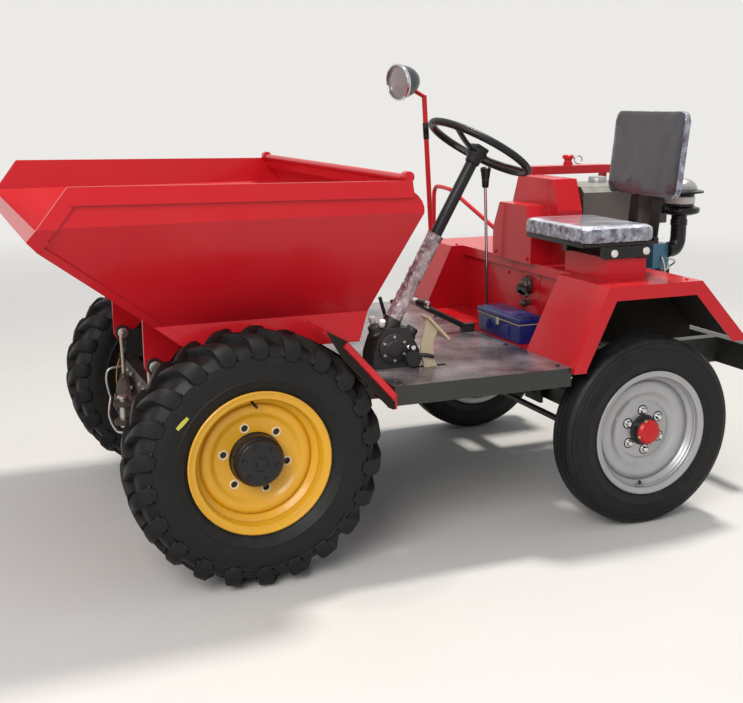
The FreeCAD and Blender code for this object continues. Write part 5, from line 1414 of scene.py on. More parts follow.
@dataclass
class SteeringColumn:
    """The film sleeve on the column, the box's cover, caps and fittings."""

    foot: Point = (-0.555, 0.42, 0.76)
    lean: tuple[float, float] = (-0.316, 0.56)
    film_start: float = -0.02
    film_end: float = 0.315
    film_radius: float = 0.0268
    film_thick: float = 0.0004
    crease: float = 0.0042
    fold: float = 0.0028
    flare: float = 0.003

    def sleeve(self) -> Mesh:
        """A loose crinkled tube of clear film.

        Returns:
            The mesh.
        """
        way = Vector((self.lean[0], 0, self.lean[1])).normalized()
        place = axis_place(station(*self.foot), way)
        shape = bmesh.new()
        rows = []
        rings, sides = 70, 36
        for i in range(rings + 1):
            along = self.film_start + (self.film_end - self.film_start) * i / rings
            row = []
            for a in turns(sides):
                crease = field_noise(Vector((math.cos(a) * 2.2, math.sin(a) * 2.2, along * 55.0)))
                fold = field_noise(Vector((a * 3.0 + along * 60.0, along * 16.0, 7.0)))
                slack = self.film_radius + self.crease * crease + self.fold * fold
                slack += self.flare if i in (0, rings) else 0.0
                row.append(shape.verts.new(place @ Vector((slack * math.cos(a), slack * math.sin(a), along))))
            rows.append(row)
        bridge(shape, rows)
        return mesh_of(shape)

    def build(self) -> None:
        """Makes the sleeve and the steering box's small parts."""
        film = add_piece("film_sleeve", self.sleeve(), FILM_SLEEVE_PAINTED_HIGHLIGHT, Slot.PALE, sharp=70)
        thick = film.modifiers.new("thickness", "SOLIDIFY")
        thick.thickness = self.film_thick
        cover = [(0.0, 0.0), (0.052, 0.0), (0.053, 0.002), (0.052, 0.008), (0.046, 0.011), (0.03, 0.012),
                 (0.026, 0.017), (0.012, 0.018), (0.0, 0.018)]
        top = [(0.0, 0.0), (0.026, 0.0), (0.027, 0.006), (0.022, 0.012), (0.021, 0.03), (0.016, 0.034),
               (0.0, 0.034)]
        cast = lathe([(cover, station(-0.535, 0.469, 0.668), LEFT),
                      (top, station(-0.485, 0.44, 0.715), Vector((0.35, 0.1, 0.93))),
                      (top, station(-0.602, 0.436, 0.7), Vector((-0.55, 0.1, 0.8)))], 40)
        add_piece("box_cover", cast, CAST_BLACK, Slot.DARK)
        bolts("box_bolts", [(station(-0.535 + 0.04 * math.cos(a), 0.479, 0.668 + 0.04 * math.sin(a)), LEFT)
                            for a in (0.5, 1.55, 2.6, 3.65, 4.7, 5.75)], size=0.0048)
        cap = [(0.0, 0.0), (0.01, 0.0), (0.0112, 0.002), (0.0112, 0.019), (0.0095, 0.022), (0.0, 0.0225)]
        caps = lathe([(cap, station(-0.478, 0.426, 0.752), Vector((0.25, 0.2, 0.9))),
                      (cap, station(-0.5, 0.452, 0.745), Vector((0.1, 0.5, 0.85)))], 20)
        add_piece("white_caps", caps, WHITE_CAP, Slot.PALE)
        hook = lathe([([(0.0, 0.0), (0.009, 0.0), (0.009, 0.012), (0.0065, 0.014), (0.0065, 0.028),
                        (0.0085, 0.03), (0.0085, 0.038), (0.0, 0.04)], station(-0.587, 0.47, 0.668),
                       Vector((-0.15, 1, 0.1)))], 18)
        add_piece("box_fitting", hook, CHROME, Slot.CHROME)
        rods = tube([([station(-0.556, 0.372, 0.728), station(-0.545, 0.362, 0.775),
                       station(-0.532, 0.358, 0.824)], 0.0062), ([station(-0.586, 0.368, 0.728),
                                                                  station(-0.58, 0.362, 0.775),
                                                                  station(-0.575, 0.36, 0.812)], 0.0058),
                     ([station(-0.6, 0.474, 0.64), station(-0.64, 0.5, 0.645), station(-0.668, 0.5, 0.634)],
                      0.0065)])
        add_piece("box_rods", rods, DARK_PAINT, Slot.DARK)
        LOG.info("steering column")


@dataclass
class Controls:
    """Lever grips, the throttle's knob, the pedal's tread and the tool box's lid."""

    grip_at: Point = (-0.793, 0.045, 0.741)
    grip_way: Point = (-0.022, 0.098, 0.0)
    knob_at: Point = (-1.285, 0.06, 0.772)

    def levers(self) -> None:
        """The hand lever's grip in a pale and a dark half, and the gear knob."""
        at, way = station(*self.grip_at), Vector(self.grip_way)
        pale = [(0.0, -0.002), (0.0115, -0.002), (0.014, 0.001), (0.0142, 0.04), (0.0, 0.04)]
        dark = [(0.0, 0.04), (0.0146, 0.04), (0.015, 0.043), (0.015, 0.086), (0.014, 0.089), (0.0, 0.089)]
        tip = [(0.0, 0.089), (0.0128, 0.089), (0.0135, 0.092), (0.013, 0.103), (0.01, 0.106), (0.0, 0.107)]
        for name, profile, finish in (("grip_pale", pale, WHITE_CAP), ("grip_dark", dark, BLACK_PLASTIC),
                                      ("grip_tip", tip, CHROME)):
            add_piece(name, lathe([(profile, at, way)], 28), finish, Slot.BLACK)
        foot = station(-1.188, -0.132, 1.138)
        knob = [(0.0, 0.0), (0.0118, 0.0), (0.0135, 0.004), (0.015, 0.03), (0.0195, 0.062), (0.0215, 0.07),
                (0.0205, 0.077), (0.015, 0.081), (0.0, 0.082)]
        stem = [(0.0, 0.0), (0.0063, 0.0), (0.0063, 0.47), (0.0, 0.47)]
        add_piece("gear_knob", lathe([(knob, foot, UP)], 32), BLACK_GLOSS, Slot.BLACK)
        base = station(-1.2068, -0.1349, 0.672)
        add_piece("gear_rod", lathe([(stem, base, foot - base)], 20), BRIGHT_ROD, Slot.CHROME)
        folds = [(0.0, 0.0), (0.034, 0.0)]
        for step in range(5):
            r, z = 0.031 - 0.0042 * step, 0.006 + 0.012 * step
            folds += [(r, z), (r - 0.0045, z + 0.006)]
        folds += [(0.0085, 0.066), (0.0, 0.067)]
        add_piece("gear_boot", lathe([(folds, station(-1.208, -0.135, 0.6005), UP)], 36), RUBBER, Slot.BLACK)

    def throttle(self) -> None:
        """The dark oval knob with its wing, and the lower knob."""
        at = station(*self.knob_at)
        disc = [(0.0, 0.0), (0.034, 0.0), (0.0365, 0.003), (0.0365, 0.012), (0.033, 0.018), (0.024, 0.021),
                (0.02, 0.03), (0.013, 0.034), (0.0, 0.035)]
        low_knob = [(0.0, 0.0), (0.01, 0.0), (0.01, 0.014), (0.014, 0.018), (0.0155, 0.028), (0.012, 0.036),
                    (0.0, 0.038)]
        mesh = lathe([(disc, at, FRONT), (low_knob, at + Vector((0.0, 0.006, -0.07)), FRONT)], 36)
        add_piece("throttle_knob", mesh, BROWN_KNOB, Slot.BLACK)
        shape = bmesh.new()
        wing = [(0.0, -0.012), (0.03, -0.01), (0.066, -0.02), (0.072, -0.03), (0.062, -0.037), (0.03, -0.028),
                (0.0, -0.026)]
        slab_into(shape, [at + Vector((0.04, y, z)) for y, z in wing], Vector((0.01, 0, 0)), 0.003, 3)
        add_piece("throttle_wing", shape, BROWN_KNOB, Slot.BLACK)

    def tool_box(self) -> None:
        """The box with its overhanging lid, pale seam, latch and handle."""
        low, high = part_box("tool_box")
        shape = bmesh.new()
        box_into(shape, low + Vector((0.005, 0.005, 0.0003)), Vector((high.x - 0.005, high.y - 0.005,
                                                                      high.z - 0.03)), 0.006, 3)
        box_into(shape, Vector((low.x, low.y, high.z - 0.027)), high - Vector((0, 0, 0.006)), 0.007, 4)
        box_into(shape, Vector((low.x + 0.016, low.y + 0.018, high.z - 0.012)),
                 high - Vector((0.016, 0.018, 0.0005)), 0.005, 3)
        for y in (low.y + 0.07, high.y - 0.105):
            box_into(shape, Vector((high.x - 0.006, y, low.z + 0.02)),
                     Vector((high.x + 0.0015, y + 0.03, low.z + 0.058)), 0.002, 2)
        add_piece("dressed_tool_box", shape, BOX_BLUE, Slot.BOX, "tool_box")
        seam = bmesh.new()
        box_into(seam, Vector((low.x + 0.003, low.y + 0.003, high.z - 0.0305)),
                 Vector((high.x - 0.002, high.y - 0.003, high.z - 0.0265)), 0.0008, 1)
        box_into(seam, Vector((high.x - 0.003, low.y + 0.158, high.z - 0.052)),
                 Vector((high.x + 0.002, low.y + 0.176, high.z - 0.024)), 0.0015, 2)
        add_piece("tool_box_seam", seam, PALE_PAINT, Slot.PALE)

    def pedal(self) -> None:
        """Tread bars on the pedal's pad."""
        shape = bmesh.new()
        turn = Matrix.Rotation(math.radians(-46.5), 4, "Y")
        for step in range(5):
            share = (step + 0.7) / 5.4
            at = station(-0.643 - 0.0765 * share, 0.485, 0.7745 - 0.0803 * share) + Vector((0, 0, 0.0015))
            box_into(shape, at - Vector((0.0035, 0.03, 0.0015)), at + Vector((0.0035, 0.03, 0.0015)), 0.001,
                     2, turn)
        add_piece("pedal_tread", shape, PALE_PAINT, Slot.PALE)

    def build(self) -> None:
        """Makes all the controls' fine parts."""
        self.levers()
        self.throttle()
        self.tool_box()
        self.pedal()
        LOG.info("controls")


# Engine, lamp, hinge and sheet details


@dataclass
class Engine:
    """The open engine's fine parts: covers, pipes, cap, air cleaner and fins."""

    cover_at: Point = (-1.64, 0.156, 0.762)
    flywheel_at: Point = (-1.64, -0.1555, 0.762)
    filler_at: Point = (-1.662, -0.29, 1.206)
    tank_cap_at: Point = (-1.66, -0.06, 1.15)
    cleaner_radius: float = 0.088

    def air_cleaner(self) -> None:
        """The black oil-bath cleaner with its pale clip band and silver dome."""
        low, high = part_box("air_cleaner")
        r = self.cleaner_radius
        at = Vector((low.x + r, high.y - r, high.z - 0.144))
        bowl = [(0.0, -0.002), (0.03, -0.002), (0.05, 0.002), (0.068, 0.007), (0.0745, 0.012), (0.076, 0.016),
                (0.076, 0.026), (0.0735, 0.03), (0.06, 0.033), (0.0545, 0.037), (0.0535, 0.041),
                (0.0535, 0.078), (0.06, 0.083), (0.08, 0.0862), (0.0872, 0.0872), (0.088, 0.09),
                (0.0872, 0.094), (0.08, 0.096), (0.062, 0.099), (0.0, 0.1)]
        dome = [(0.0, 0.0985), (0.0615, 0.0985), (0.0625, 0.102), (0.06, 0.111), (0.054, 0.122),
                (0.044, 0.131), (0.03, 0.1385), (0.014, 0.142), (0.0, 0.143)]
        band = [(0.053, 0.046), (0.0556, 0.046), (0.056, 0.048), (0.056, 0.07), (0.0556, 0.072),
                (0.053, 0.072)]
        knee = tube([([at + Vector(p) for p in ((0, 0, 0.004), (0, 0, -0.06), (0, 0, -0.1),
                                                (0.012, 0, -0.126), (0.03, 0, -0.1325),
                                                (0.0465, 0, -0.1325))], 0.0298)], sides=10)
        shape = bmesh.new()
        shape.from_mesh(knee)
        lathe_into(shape, bowl, axis_place(at, UP), 56)
        for height in (-0.022, -0.034):
            hose = [(0.0285, height - 0.005), (0.032, height - 0.005), (0.0325, height - 0.003),
                    (0.0325, height + 0.003), (0.032, height + 0.005), (0.0285, height + 0.005)]
            lathe_into(shape, hose, axis_place(at, UP), 40)
        add_piece("dressed_air_cleaner", shape, BLACK_GLOSS, Slot.BLACK, "air_cleaner")
        add_piece("cleaner_dome", lathe([(dome, at, UP)], 48), SILVER_PAINT, Slot.SILVER)
        add_piece("cleaner_band", lathe([(band, at, UP)], 48), WHITE_CAP, Slot.PALE)

    def fittings(self) -> None:
        """Bolts round the covers, the filler, pipes and clamps."""
        cover = station(*self.cover_at)
        ring = [(cover + Vector((0.074 * math.cos(a), 0, 0.074 * math.sin(a))), LEFT) for a in turns(8)]
        sump = [(station(x, 0.156, z), LEFT) for x in (-1.782, -1.718) for z in (0.598, 0.682)]
        head = [(station(x, y, 0.85), UP) for x in (-1.885, -1.815) for y in (-0.088, 0.088)]
        block = [(station(x, 0.14, z), LEFT) for x in (-1.785, -1.495) for z in (0.566, 0.7, 0.82)]
        bolts("engine_bolts", ring + sump + head + block, size=0.0062)
        boss = lathe([([(0.0, 0.0), (0.034, 0.0), (0.0345, 0.002), (0.033, 0.006), (0.027, 0.008),
                        (0.022, 0.014), (0.014, 0.016), (0.0, 0.016)], station(-1.64, 0.172, 0.762), LEFT),
                      ([(0.0, 0.0), (0.026, 0.0), (0.026, 0.016), (0.03, 0.019), (0.03, 0.027),
                        (0.024, 0.031), (0.0, 0.032)], station(-1.56, 0.09, 0.879), UP)], 36)
        add_piece("engine_caps", boss, SILVER_PAINT, Slot.SILVER)
        pipes = tube([([station(-1.76, 0.252, 0.88), station(-1.765, 0.275, 0.84),
                        station(-1.76, 0.262, 0.76), station(-1.75, 0.17, 0.69)], 0.0045),
                      ([station(-1.69, 0.13, 0.905), station(-1.7, 0.168, 0.88), station(-1.72, 0.172, 0.8),
                        station(-1.712, 0.152, 0.7)], 0.004), ([station(-1.902, 0.06, 0.79),
                                                                station(-1.925, 0.13, 0.83),
                                                                station(-1.86, 0.19, 0.86),
                                                                station(-1.78, 0.18, 0.87)], 0.0035)])
        add_piece("engine_pipes", pipes, ZINC, Slot.CHROME)
        fill = [(0.0, -0.001), (0.036, -0.001), (0.037, 0.002), (0.037, 0.016), (0.034, 0.021), (0.02, 0.024),
                (0.0, 0.025)]
        low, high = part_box("fuel_tank")
        cap = lathe([(fill, station(*self.tank_cap_at), UP)], 40)
        add_piece("tank_cap", cap, SILVER_PAINT, Slot.SILVER)
        shape = bmesh.new()
        box_into(shape, Vector((low.x + 0.004, low.y - 0.003, low.z + 0.118)),
                 Vector((high.x + 0.003, high.y + 0.003, low.z + 0.128)), 0.003, 2)
        for x in (low.x + 0.105, high.x - 0.075):
            box_into(shape, Vector((x - 0.012, low.y - 0.004, high.z - 0.1745)),
                     Vector((x + 0.012, high.y + 0.0035, high.z - 0.168)), 0.001, 1)
        add_piece("tank_seam", shape, TANK_GREY, Slot.GREY)
        knob = [(0.0, 0.0), (0.01, 0.0), (0.012, 0.006), (0.02, 0.014), (0.0225, 0.024), (0.02, 0.034),
                (0.012, 0.041), (0.0, 0.043)]
        silver = lathe([(knob, station(-1.838, 0.16, 0.806), Vector((0, 0.2, 1)))], 28)
        add_piece("engine_knob", silver, WHITE_CAP, Slot.SILVER)
        arm = tube([([station(-1.795, 0.15, 0.77), station(-1.815, 0.16, 0.79), station(-1.838, 0.16, 0.808)],
                     0.007)])
        add_piece("engine_knob_arm", arm, ENGINE_BLUE, Slot.BLUE)
        LOG.info("engine")

    def guard(self) -> None:
        """The small red filler on the guard with its bright lifting ring."""
        foot = station(*self.filler_at)
        neck = [(0.0, 0.0), (0.02, 0.0), (0.02, 0.012), (0.016, 0.014), (0.016, 0.024), (0.024, 0.027),
                (0.024, 0.04), (0.02, 0.043), (0.0, 0.043)]
        add_piece("guard_filler", lathe([(neck, foot, UP)], 28), RED_PAINT, Slot.RED)
        ring = [(0.016 + 0.0032 * math.cos(a), 0.0032 * math.sin(a)) for a in turns(10)]
        eye = lathe([(ring, foot + Vector((-0.05, 0.0, 0.022)), Vector((0.5, 1, 0.0)))], 32)
        add_piece("guard_eye", eye, CHROME, Slot.CHROME)

    def fins(self) -> None:
        """Thin cooling fins between the CAD ones and the rocker cover's ribs."""
        shape = bmesh.new()
        for step in range(7):
            x = -1.8925 + 0.011 * step
            box_into(shape, station(x, -0.118, 0.64), station(x + 0.0035, 0.118, 0.852), 0.001, 1)
        for step in range(5):
            y = -0.064 + 0.032 * step
            box_into(shape, station(-1.9335, y - 0.004, 0.69), station(-1.928, y + 0.004, 0.8), 0.0015, 2)
        add_piece("head_fins", shape, ENGINE_BLUE, Slot.BLUE)
        rim = [(0.1985, 0.0), (0.2, 0.002), (0.2, 0.058), (0.1985, 0.06), (0.19, 0.0602), (0.188, 0.058),
               (0.188, 0.002), (0.19, 0.0)]
        wheel = lathe([(rim, station(*self.flywheel_at), Vector((0, -1, 0)))], 72)
        add_piece("flywheel_rim", wheel, ZINC, Slot.CHROME)

    def build(self) -> None:
        """Makes the engine's parts."""
        self.air_cleaner()
        self.fittings()
        self.guard()
        self.fins()


@dataclass
class Lamp:
    """The bright headlamp bowl with its rolled rim and fluted lens."""

    centre: Point = (-1.039, -0.646, 1.55)
    look: Point = (0.95, 0.25, -0.1)
    flutes: int = 18
    flute_depth: float = 0.0007
    glass_radius: float = 0.0688
    dome_height: float = 0.0095

    def lens(self, place: Matrix) -> Mesh:
        """A shallow domed glass with upright flutes on its face.

        Args:
            place: carries the local axes to the frame.

        Returns:
            The mesh.
        """
        shape = bmesh.new()
        rings, sides, radius = 14, 72, self.glass_radius
        rows = []
        for front in (True, False):
            for i in range(rings + 1):
                r = radius * (i if front else rings - i) / rings
                row = []
                for a in turns(sides):
                    x, y = r * math.cos(a), r * math.sin(a)
                    dome = self.dome_height * (1 - (r / radius) ** 2)
                    fluted = front and r < 0.066
                    wave = math.cos(2 * math.pi * x * self.flutes / (2 * radius))
                    flute = self.flute_depth * wave if fluted else 0.0
                    row.append(shape.verts.new(place @ Vector((x, y,
                                                               dome + flute + (0.0 if front else -0.004)))))
                rows.append(row)
        bridge(shape, rows)
        bmesh.ops.remove_doubles(shape, verts=shape.verts, dist=MERGE)
        bmesh.ops.dissolve_degenerate(shape, dist=SLIVER, edges=shape.edges)
        return mesh_of(shape)

    def build(self) -> None:
        """Makes the lamp in place of its CAD nodes."""
        at, way = station(*self.centre), Vector(self.look).normalized()
        bowl = [(0.0, -0.098), (0.014, -0.0975), (0.024, -0.0945), (0.036, -0.087), (0.049, -0.073),
                (0.06, -0.054), (0.067, -0.032), (0.0712, -0.008), (0.0725, -0.005), (0.066, -0.004),
                (0.06, -0.026), (0.048, -0.048), (0.03, -0.062), (0.0, -0.068)]
        rim = [(0.0705, -0.006), (0.0752, -0.005), (0.0768, -0.0015), (0.077, 0.005), (0.0755, 0.01),
               (0.0725, 0.0118), (0.0698, 0.0105), (0.069, 0.006), (0.069, -0.002)]
        add_piece("dressed_headlamp", lathe([(bowl, at, way)], 72), LAMP_SHELL, Slot.CHROME, "headlamp")
        add_piece("lamp_rim", lathe([(rim, at, way)], 72), CHROME, Slot.CHROME)
        add_piece("fluted_lens", self.lens(axis_place(at, way)), LENS, Slot.GLASS, "lamp_lens")
        bulb = [(0.0, -0.066), (0.01, -0.066), (0.011, -0.05), (0.008, -0.046), (0.0085, -0.036),
                (0.005, -0.028), (0.0, -0.0265)]
        add_piece("lamp_bulb", lathe([(bulb, at, way)], 20), WHITE_CAP, Slot.PALE)
        clamp = bmesh.new()
        side = Vector((0, -0.03, 0))
        box_into(clamp, at + side + Vector((-0.062, -0.006, -0.03)),
                 at + side + Vector((-0.028, 0.01, 0.004)), 0.003, 2)
        add_piece("lamp_clamp", clamp, RED_PAINT, Slot.RED)
        foot, head = station(-1.2125, -0.6915, 0.872), station(-1.1735, -0.6915, 1.49)
        wire = [foot + (head - foot) * share + Vector((0.002 * math.sin(17 * share), 0.001, 0))
                for share in (0.0, 0.12, 0.25, 0.4, 0.55, 0.7, 0.85, 1.0)]
        wire += [head + Vector((0.03, 0.004, 0.01)), station(-1.11, -0.655, 1.523),
                 station(-1.106, -0.652, 1.54)]
        add_piece("lamp_wire", tube([(wire, 0.0026)]), RUBBER, Slot.BLACK)
        sleeve = [(0.0, 0.0), (0.0122, 0.0), (0.0128, 0.001), (0.0128, 0.047), (0.0122, 0.048), (0.0, 0.048)]
        post_low, post_high = station(-1.212, -0.678, 0.866), station(-1.172, -0.678, 1.496)
        way_up = (post_high - post_low).normalized()
        tape = lathe([(sleeve, post_low + way_up * (0.445 + step), way_up) for step in (0.0, 0.022)], 24)
        add_piece("post_tape", tape, RUBBER, Slot.BLACK)
        LOG.info("lamp")


@dataclass
class Nose:
    """Hinge pins with their cotters, the hanging rods, brake pipes and the tow pin."""

    pin: tuple[float, float] = (0.234, 0.644)

    def build(self) -> None:
        """Makes the nose's fine parts."""
        x, z = self.pin
        head = [(0.0, 0.0), (0.019, 0.0), (0.02, 0.002), (0.019, 0.006), (0.013, 0.008), (0.0, 0.0085)]
        ends = lathe([(head, station(x, side * 0.325, z), LEFT * side) for side in (1, -1)] +
                     [(head, station(x, side * 0.263, z), LEFT * -side) for side in (1, -1)], 28)
        add_piece("pin_heads", ends, ZINC, Slot.CHROME)
        hang = tube([([station(x + 0.004, -0.2535, z + 0.006), station(x + 0.012, -0.2535, z - 0.008),
                       station(x + 0.008, -0.2535, z - 0.06), station(x + 0.008, -0.2535, z - 0.182)],
                      0.0058), ([station(x + 0.004, 0.2535, z + 0.006), station(x + 0.012, 0.2535, z - 0.008),
                                 station(x + 0.008, 0.2535, z - 0.05), station(x + 0.008, 0.2535, z - 0.125)],
                                0.0058)])
        add_piece("hang_rods", hang, PALE_ROD, Slot.PALE)
        pipes = tube([([station(*p) for p in ((0.286, -0.3, 0.395), (0.3, -0.3, 0.446), (0.296, -0.3, 0.5),
                                              (0.267, -0.3, 0.511), (0.2, -0.3, 0.511))], 0.0046),
                      ([station(*p) for p in ((0.286, -0.3, 0.395), (0.302, -0.275, 0.345),
                                              (0.302, -0.225, 0.322), (0.302, -0.12, 0.318),
                                              (0.3, -0.04, 0.33), (0.285, 0.12, 0.376), (0.24, 0.15, 0.4),
                                              (0.12, 0.16, 0.42))], 0.0046)])
        add_piece("brake_pipes", pipes, ZINC, Slot.CHROME)
        tow = [(0.0, -0.004), (0.0122, -0.004), (0.0122, 0.1), (0.02, 0.102), (0.02, 0.108), (0.014, 0.112),
               (0.0, 0.112)]
        add_piece("tow_pin", lathe([(tow, station(0.29, 0.0, 0.366), UP)], 24), ZINC, Slot.CHROME)
        hub = [(station(0.243, y, z0), FRONT) for y in (-0.15, -0.08, 0.08, 0.15) for z0 in (0.48, 0.53)]
        bolts("nose_bolts", hub, size=0.007)
        LOG.info("nose")


@dataclass
class Sheets:
    """The sheet parts' weld beads, folds and bolts, the dark sheets of painted shade on the guards and in the
    rear arches, and the drive casing by the front axle.
    """

    weld_pitch: float = 160.0
    weld_ripple: float = 0.0006
    casing_at: Point = (0.06, -0.152, 0.415)
    arch: Profile = ((-1.0905, 0.59), (-1.2155, 0.8575), (-1.5835, 0.8575), (-1.7925, 0.6395))
    guard_side: float = 0.7201

    def skip(self) -> None:
        """Weld beads along the skip's corners and on its hinge ears."""
        routes = []
        for side in (1, -1):
            first, second = station(-0.4, side * 0.5055, 0.7135), station(0.15, side * 0.5055, 0.7175)
            routes.append(([first.lerp(second, k / 8) for k in range(9)], 0.0028))
            routes.append(([station(0.156 + (0.226 - 0.156) * k / 6, side * 0.299,
                                    0.727 + (0.781 - 0.727) * k / 6 - 0.004) for k in range(7)], 0.0035))
        mesh = tube(routes, sides=3)
        for vertex in mesh.vertices:
            vertex.co += Vector((0, 0, self.weld_ripple * field_noise(vertex.co * self.weld_pitch)))
        add_piece("skip_welds", mesh, RED_PAINT, Slot.RED, body=Body.SKIP.value)

    def folds(self) -> None:
        """The raised folded lines and fixing bolts of the bulkhead, hood and fenders."""
        shape = bmesh.new()
        for x0, x1, y0, y1, z0, z1 in ((-1.2855, -1.2825, -0.465, 0.395, 0.822, 0.8265),
                                       (-1.2855, -1.283, 0.1455, 0.1485, 0.605, 0.822),
                                       (-1.4395, -1.4355, 0.1745, 0.1785, 0.866, 1.066)):
            box_into(shape, station(x0, y0, z0), station(x1, y1, z1), 0.0008, 1)
        add_piece("fold_lines", shape, RED_PAINT, Slot.RED)
        red = [(station(-1.2845, y, z), FRONT) for y, z in ((-0.43, 0.64), (-0.43, 0.78), (0.36, 0.64),
                                                            (0.36, 0.8), (-0.1, 0.8), (-0.28, 0.8))]
        red += [(station(-1.235, y, 0.885), FRONT) for y in (-0.125, 0.125)]
        red += [(station(x, y, 0.866), UP) for x in (-1.25, -1.55) for y in (-0.5, 0.43, 0.68)]
        bolts("red_bolts", red, size=0.0055, finish=RED_PAINT)
        dark = [(station(x, y, 0.6), UP) for x in (-0.475, -1.055) for y in (-0.66, -0.3, 0.3, 0.66)]
        dark += [(station(x, s * 0.316, 0.505), LEFT * s) for x in (-1.9, -1.74, -1.53, -1.4, -0.505, -0.3,
                                                                    0.21) for s in (1, -1)]
        bolts("dark_bolts", dark, size=0.0062, finish=CAST_BLACK)

    def axle(self) -> None:
        """The drive casing in front of the axle, with its bolted flange, plug and breather."""
        at = station(*self.casing_at)
        casing = [(0.0, 0.0), (0.08, 0.0), (0.082, 0.05), (0.084, 0.17), (0.086, 0.182), (0.098, 0.186),
                  (0.1, 0.188), (0.1, 0.201), (0.098, 0.203), (0.084, 0.205), (0.078, 0.213), (0.058, 0.221),
                  (0.032, 0.224), (0.03, 0.233), (0.0, 0.234)]
        plug = [(0.0, 0.0), (0.015, 0.0), (0.015, 0.016), (0.011, 0.018), (0.0, 0.019)]
        casting = lathe([(casing, at, FRONT), (plug, station(0.264, -0.152, 0.351), FRONT)], 60)
        add_piece("drive_casing", casting, RAW_IRON, Slot.IRON)
        stem = [(0.0, -0.004), (0.006, -0.004), (0.006, 0.008), (0.0105, 0.009), (0.0105, 0.024),
                (0.008, 0.027), (0.0, 0.028)]
        breather = lathe([(stem, station(0.205, -0.13, 0.495), UP)], 20)
        add_piece("breather", breather, ZINC, Slot.CHROME)
        ring = [(at + Vector((0.203, 0.0915 * math.cos(a), 0.0915 * math.sin(a))), FRONT) for a in turns(10)]
        bolts("casing_bolts", ring, size=0.0055, finish=CAST_BLACK)

    def arch_shade_sheets(self) -> None:
        """Dark sheets inside the rear fenders' arches: painted shade where the arches lie in shadow."""
        inner = [(x * 0.9985 - 0.0015, z - 0.003) for x, z in self.arch]
        for word, y0, y1, wall in (("left", 0.4065, 0.714, 0.4062), ("right", -0.714, -0.4765, -0.4762)):
            shape = bmesh.new()
            outline = [station(x, y0, z) for x, z in self.arch] + [station(x, y0, z) for x, z in inner[::-1]]
            slab_into(shape, outline, Vector((0, y1 - y0, 0)), 0.0, 1)
            foot = [(-1.0925, 0.606), (-1.216, 0.8565), (-1.583, 0.8565), (-1.79, 0.6425), (-1.79, 0.606)]
            way = Vector((0, 0.0015 if wall > 0 else -0.0015, 0))
            slab_into(shape, [station(x, wall, z) for x, z in foot], way, 0.0, 1)
            add_piece("arch_liner_" + word, shape, PAINTED_SHADE_SHEET, Slot.DARK)

    def guards(self) -> None:
        """The folded lip on each front guard's slope, and a dark sheet on its side below it, painted shade for
        the guard's unlit underside.
        """
        foot, bend, tip = Vector((-0.4385, 0, 0.5815)), Vector((-0.2765, 0, 0.7625)), Vector((-0.2055, 0,
                                                                                              0.801))
        slope = (bend - foot).normalized()
        inward = Vector((slope.z, 0, -slope.x))
        for word, side in (("left", 1), ("right", -1)):
            face = side * self.guard_side
            lip, shade_sheet = bmesh.new(), bmesh.new()
            fold = ((0.0, 0.0), (0.019, 0.013), (0.021, 0.013), (0.023, 0.0))
            near, far = ([lip.verts.new(station(at.x, face, at.z) +
                                        inward * down + Vector((0, side * out, 0))) for down, out in fold]
                         for at in (foot, bend))
            bridge(lip, [near, far], capped=True)
            bmesh.ops.recalc_face_normals(lip, faces=lip.faces)
            # Painted shade: a dark sheet over the guard's side below the lip, standing for the unlit
            # underside.
            low, high = foot + inward * 0.0225, bend + inward * 0.0225
            outline = [tip, bend, high, low, Vector((-0.433, 0, 0.556)), Vector((-0.433, 0, 0.536)),
                       Vector((-0.4275, 0, 0.5316)), Vector((-0.4108, 0, 0.5392)),
                       Vector((-0.261, 0, 0.7062))]
            slab_into(shade_sheet, [station(p.x, face, p.z) for p in outline], Vector((0, side * 0.001, 0)), 0.0, 1)
            add_piece("guard_lip_" + word, lip, RED_PAINT, Slot.RED, sharp=30)
            add_piece("guard_seal_" + word, shade_sheet, PAINTED_SHADE_SHEET, Slot.DARK)

    def build(self) -> None:
        """Makes the sheet details."""
        self.guards()
        self.skip()
        self.folds()
        self.axle()
        self.arch_shade_sheets()
        LOG.info("sheets")


# The dressed CAD nodes, the stage and the main order


def dress_nodes() -> None:
    """Gives every CAD node the finish of its slot, with smooth curved faces."""
    special = {"deck_plate": DECK_STEEL, "steering_column": BLACK_SATIN, "steering_box": CAST_BLACK,
               "seat_pan": BLACK_GLOSS, "seat_bracket": BLACK_SATIN, "hand_lever": CAST_BLACK}
    for entry in frame["record"]["subparts"]:
        node = frame["nodes"][entry["node"]]
        finish = special.get(entry["node"], SLOT_FINISHES[Slot(entry["material_slot"])])
        node.data.materials.clear()
        node.data.materials.append(finish.make())
        for polygon in node.data.polygons:
            polygon.material_index = 0
            polygon.use_smooth = True
        node.data.set_sharp_from_angle(angle=math.radians(25))
    LOG.info("CAD nodes dressed: %d", len(frame["nodes"]))


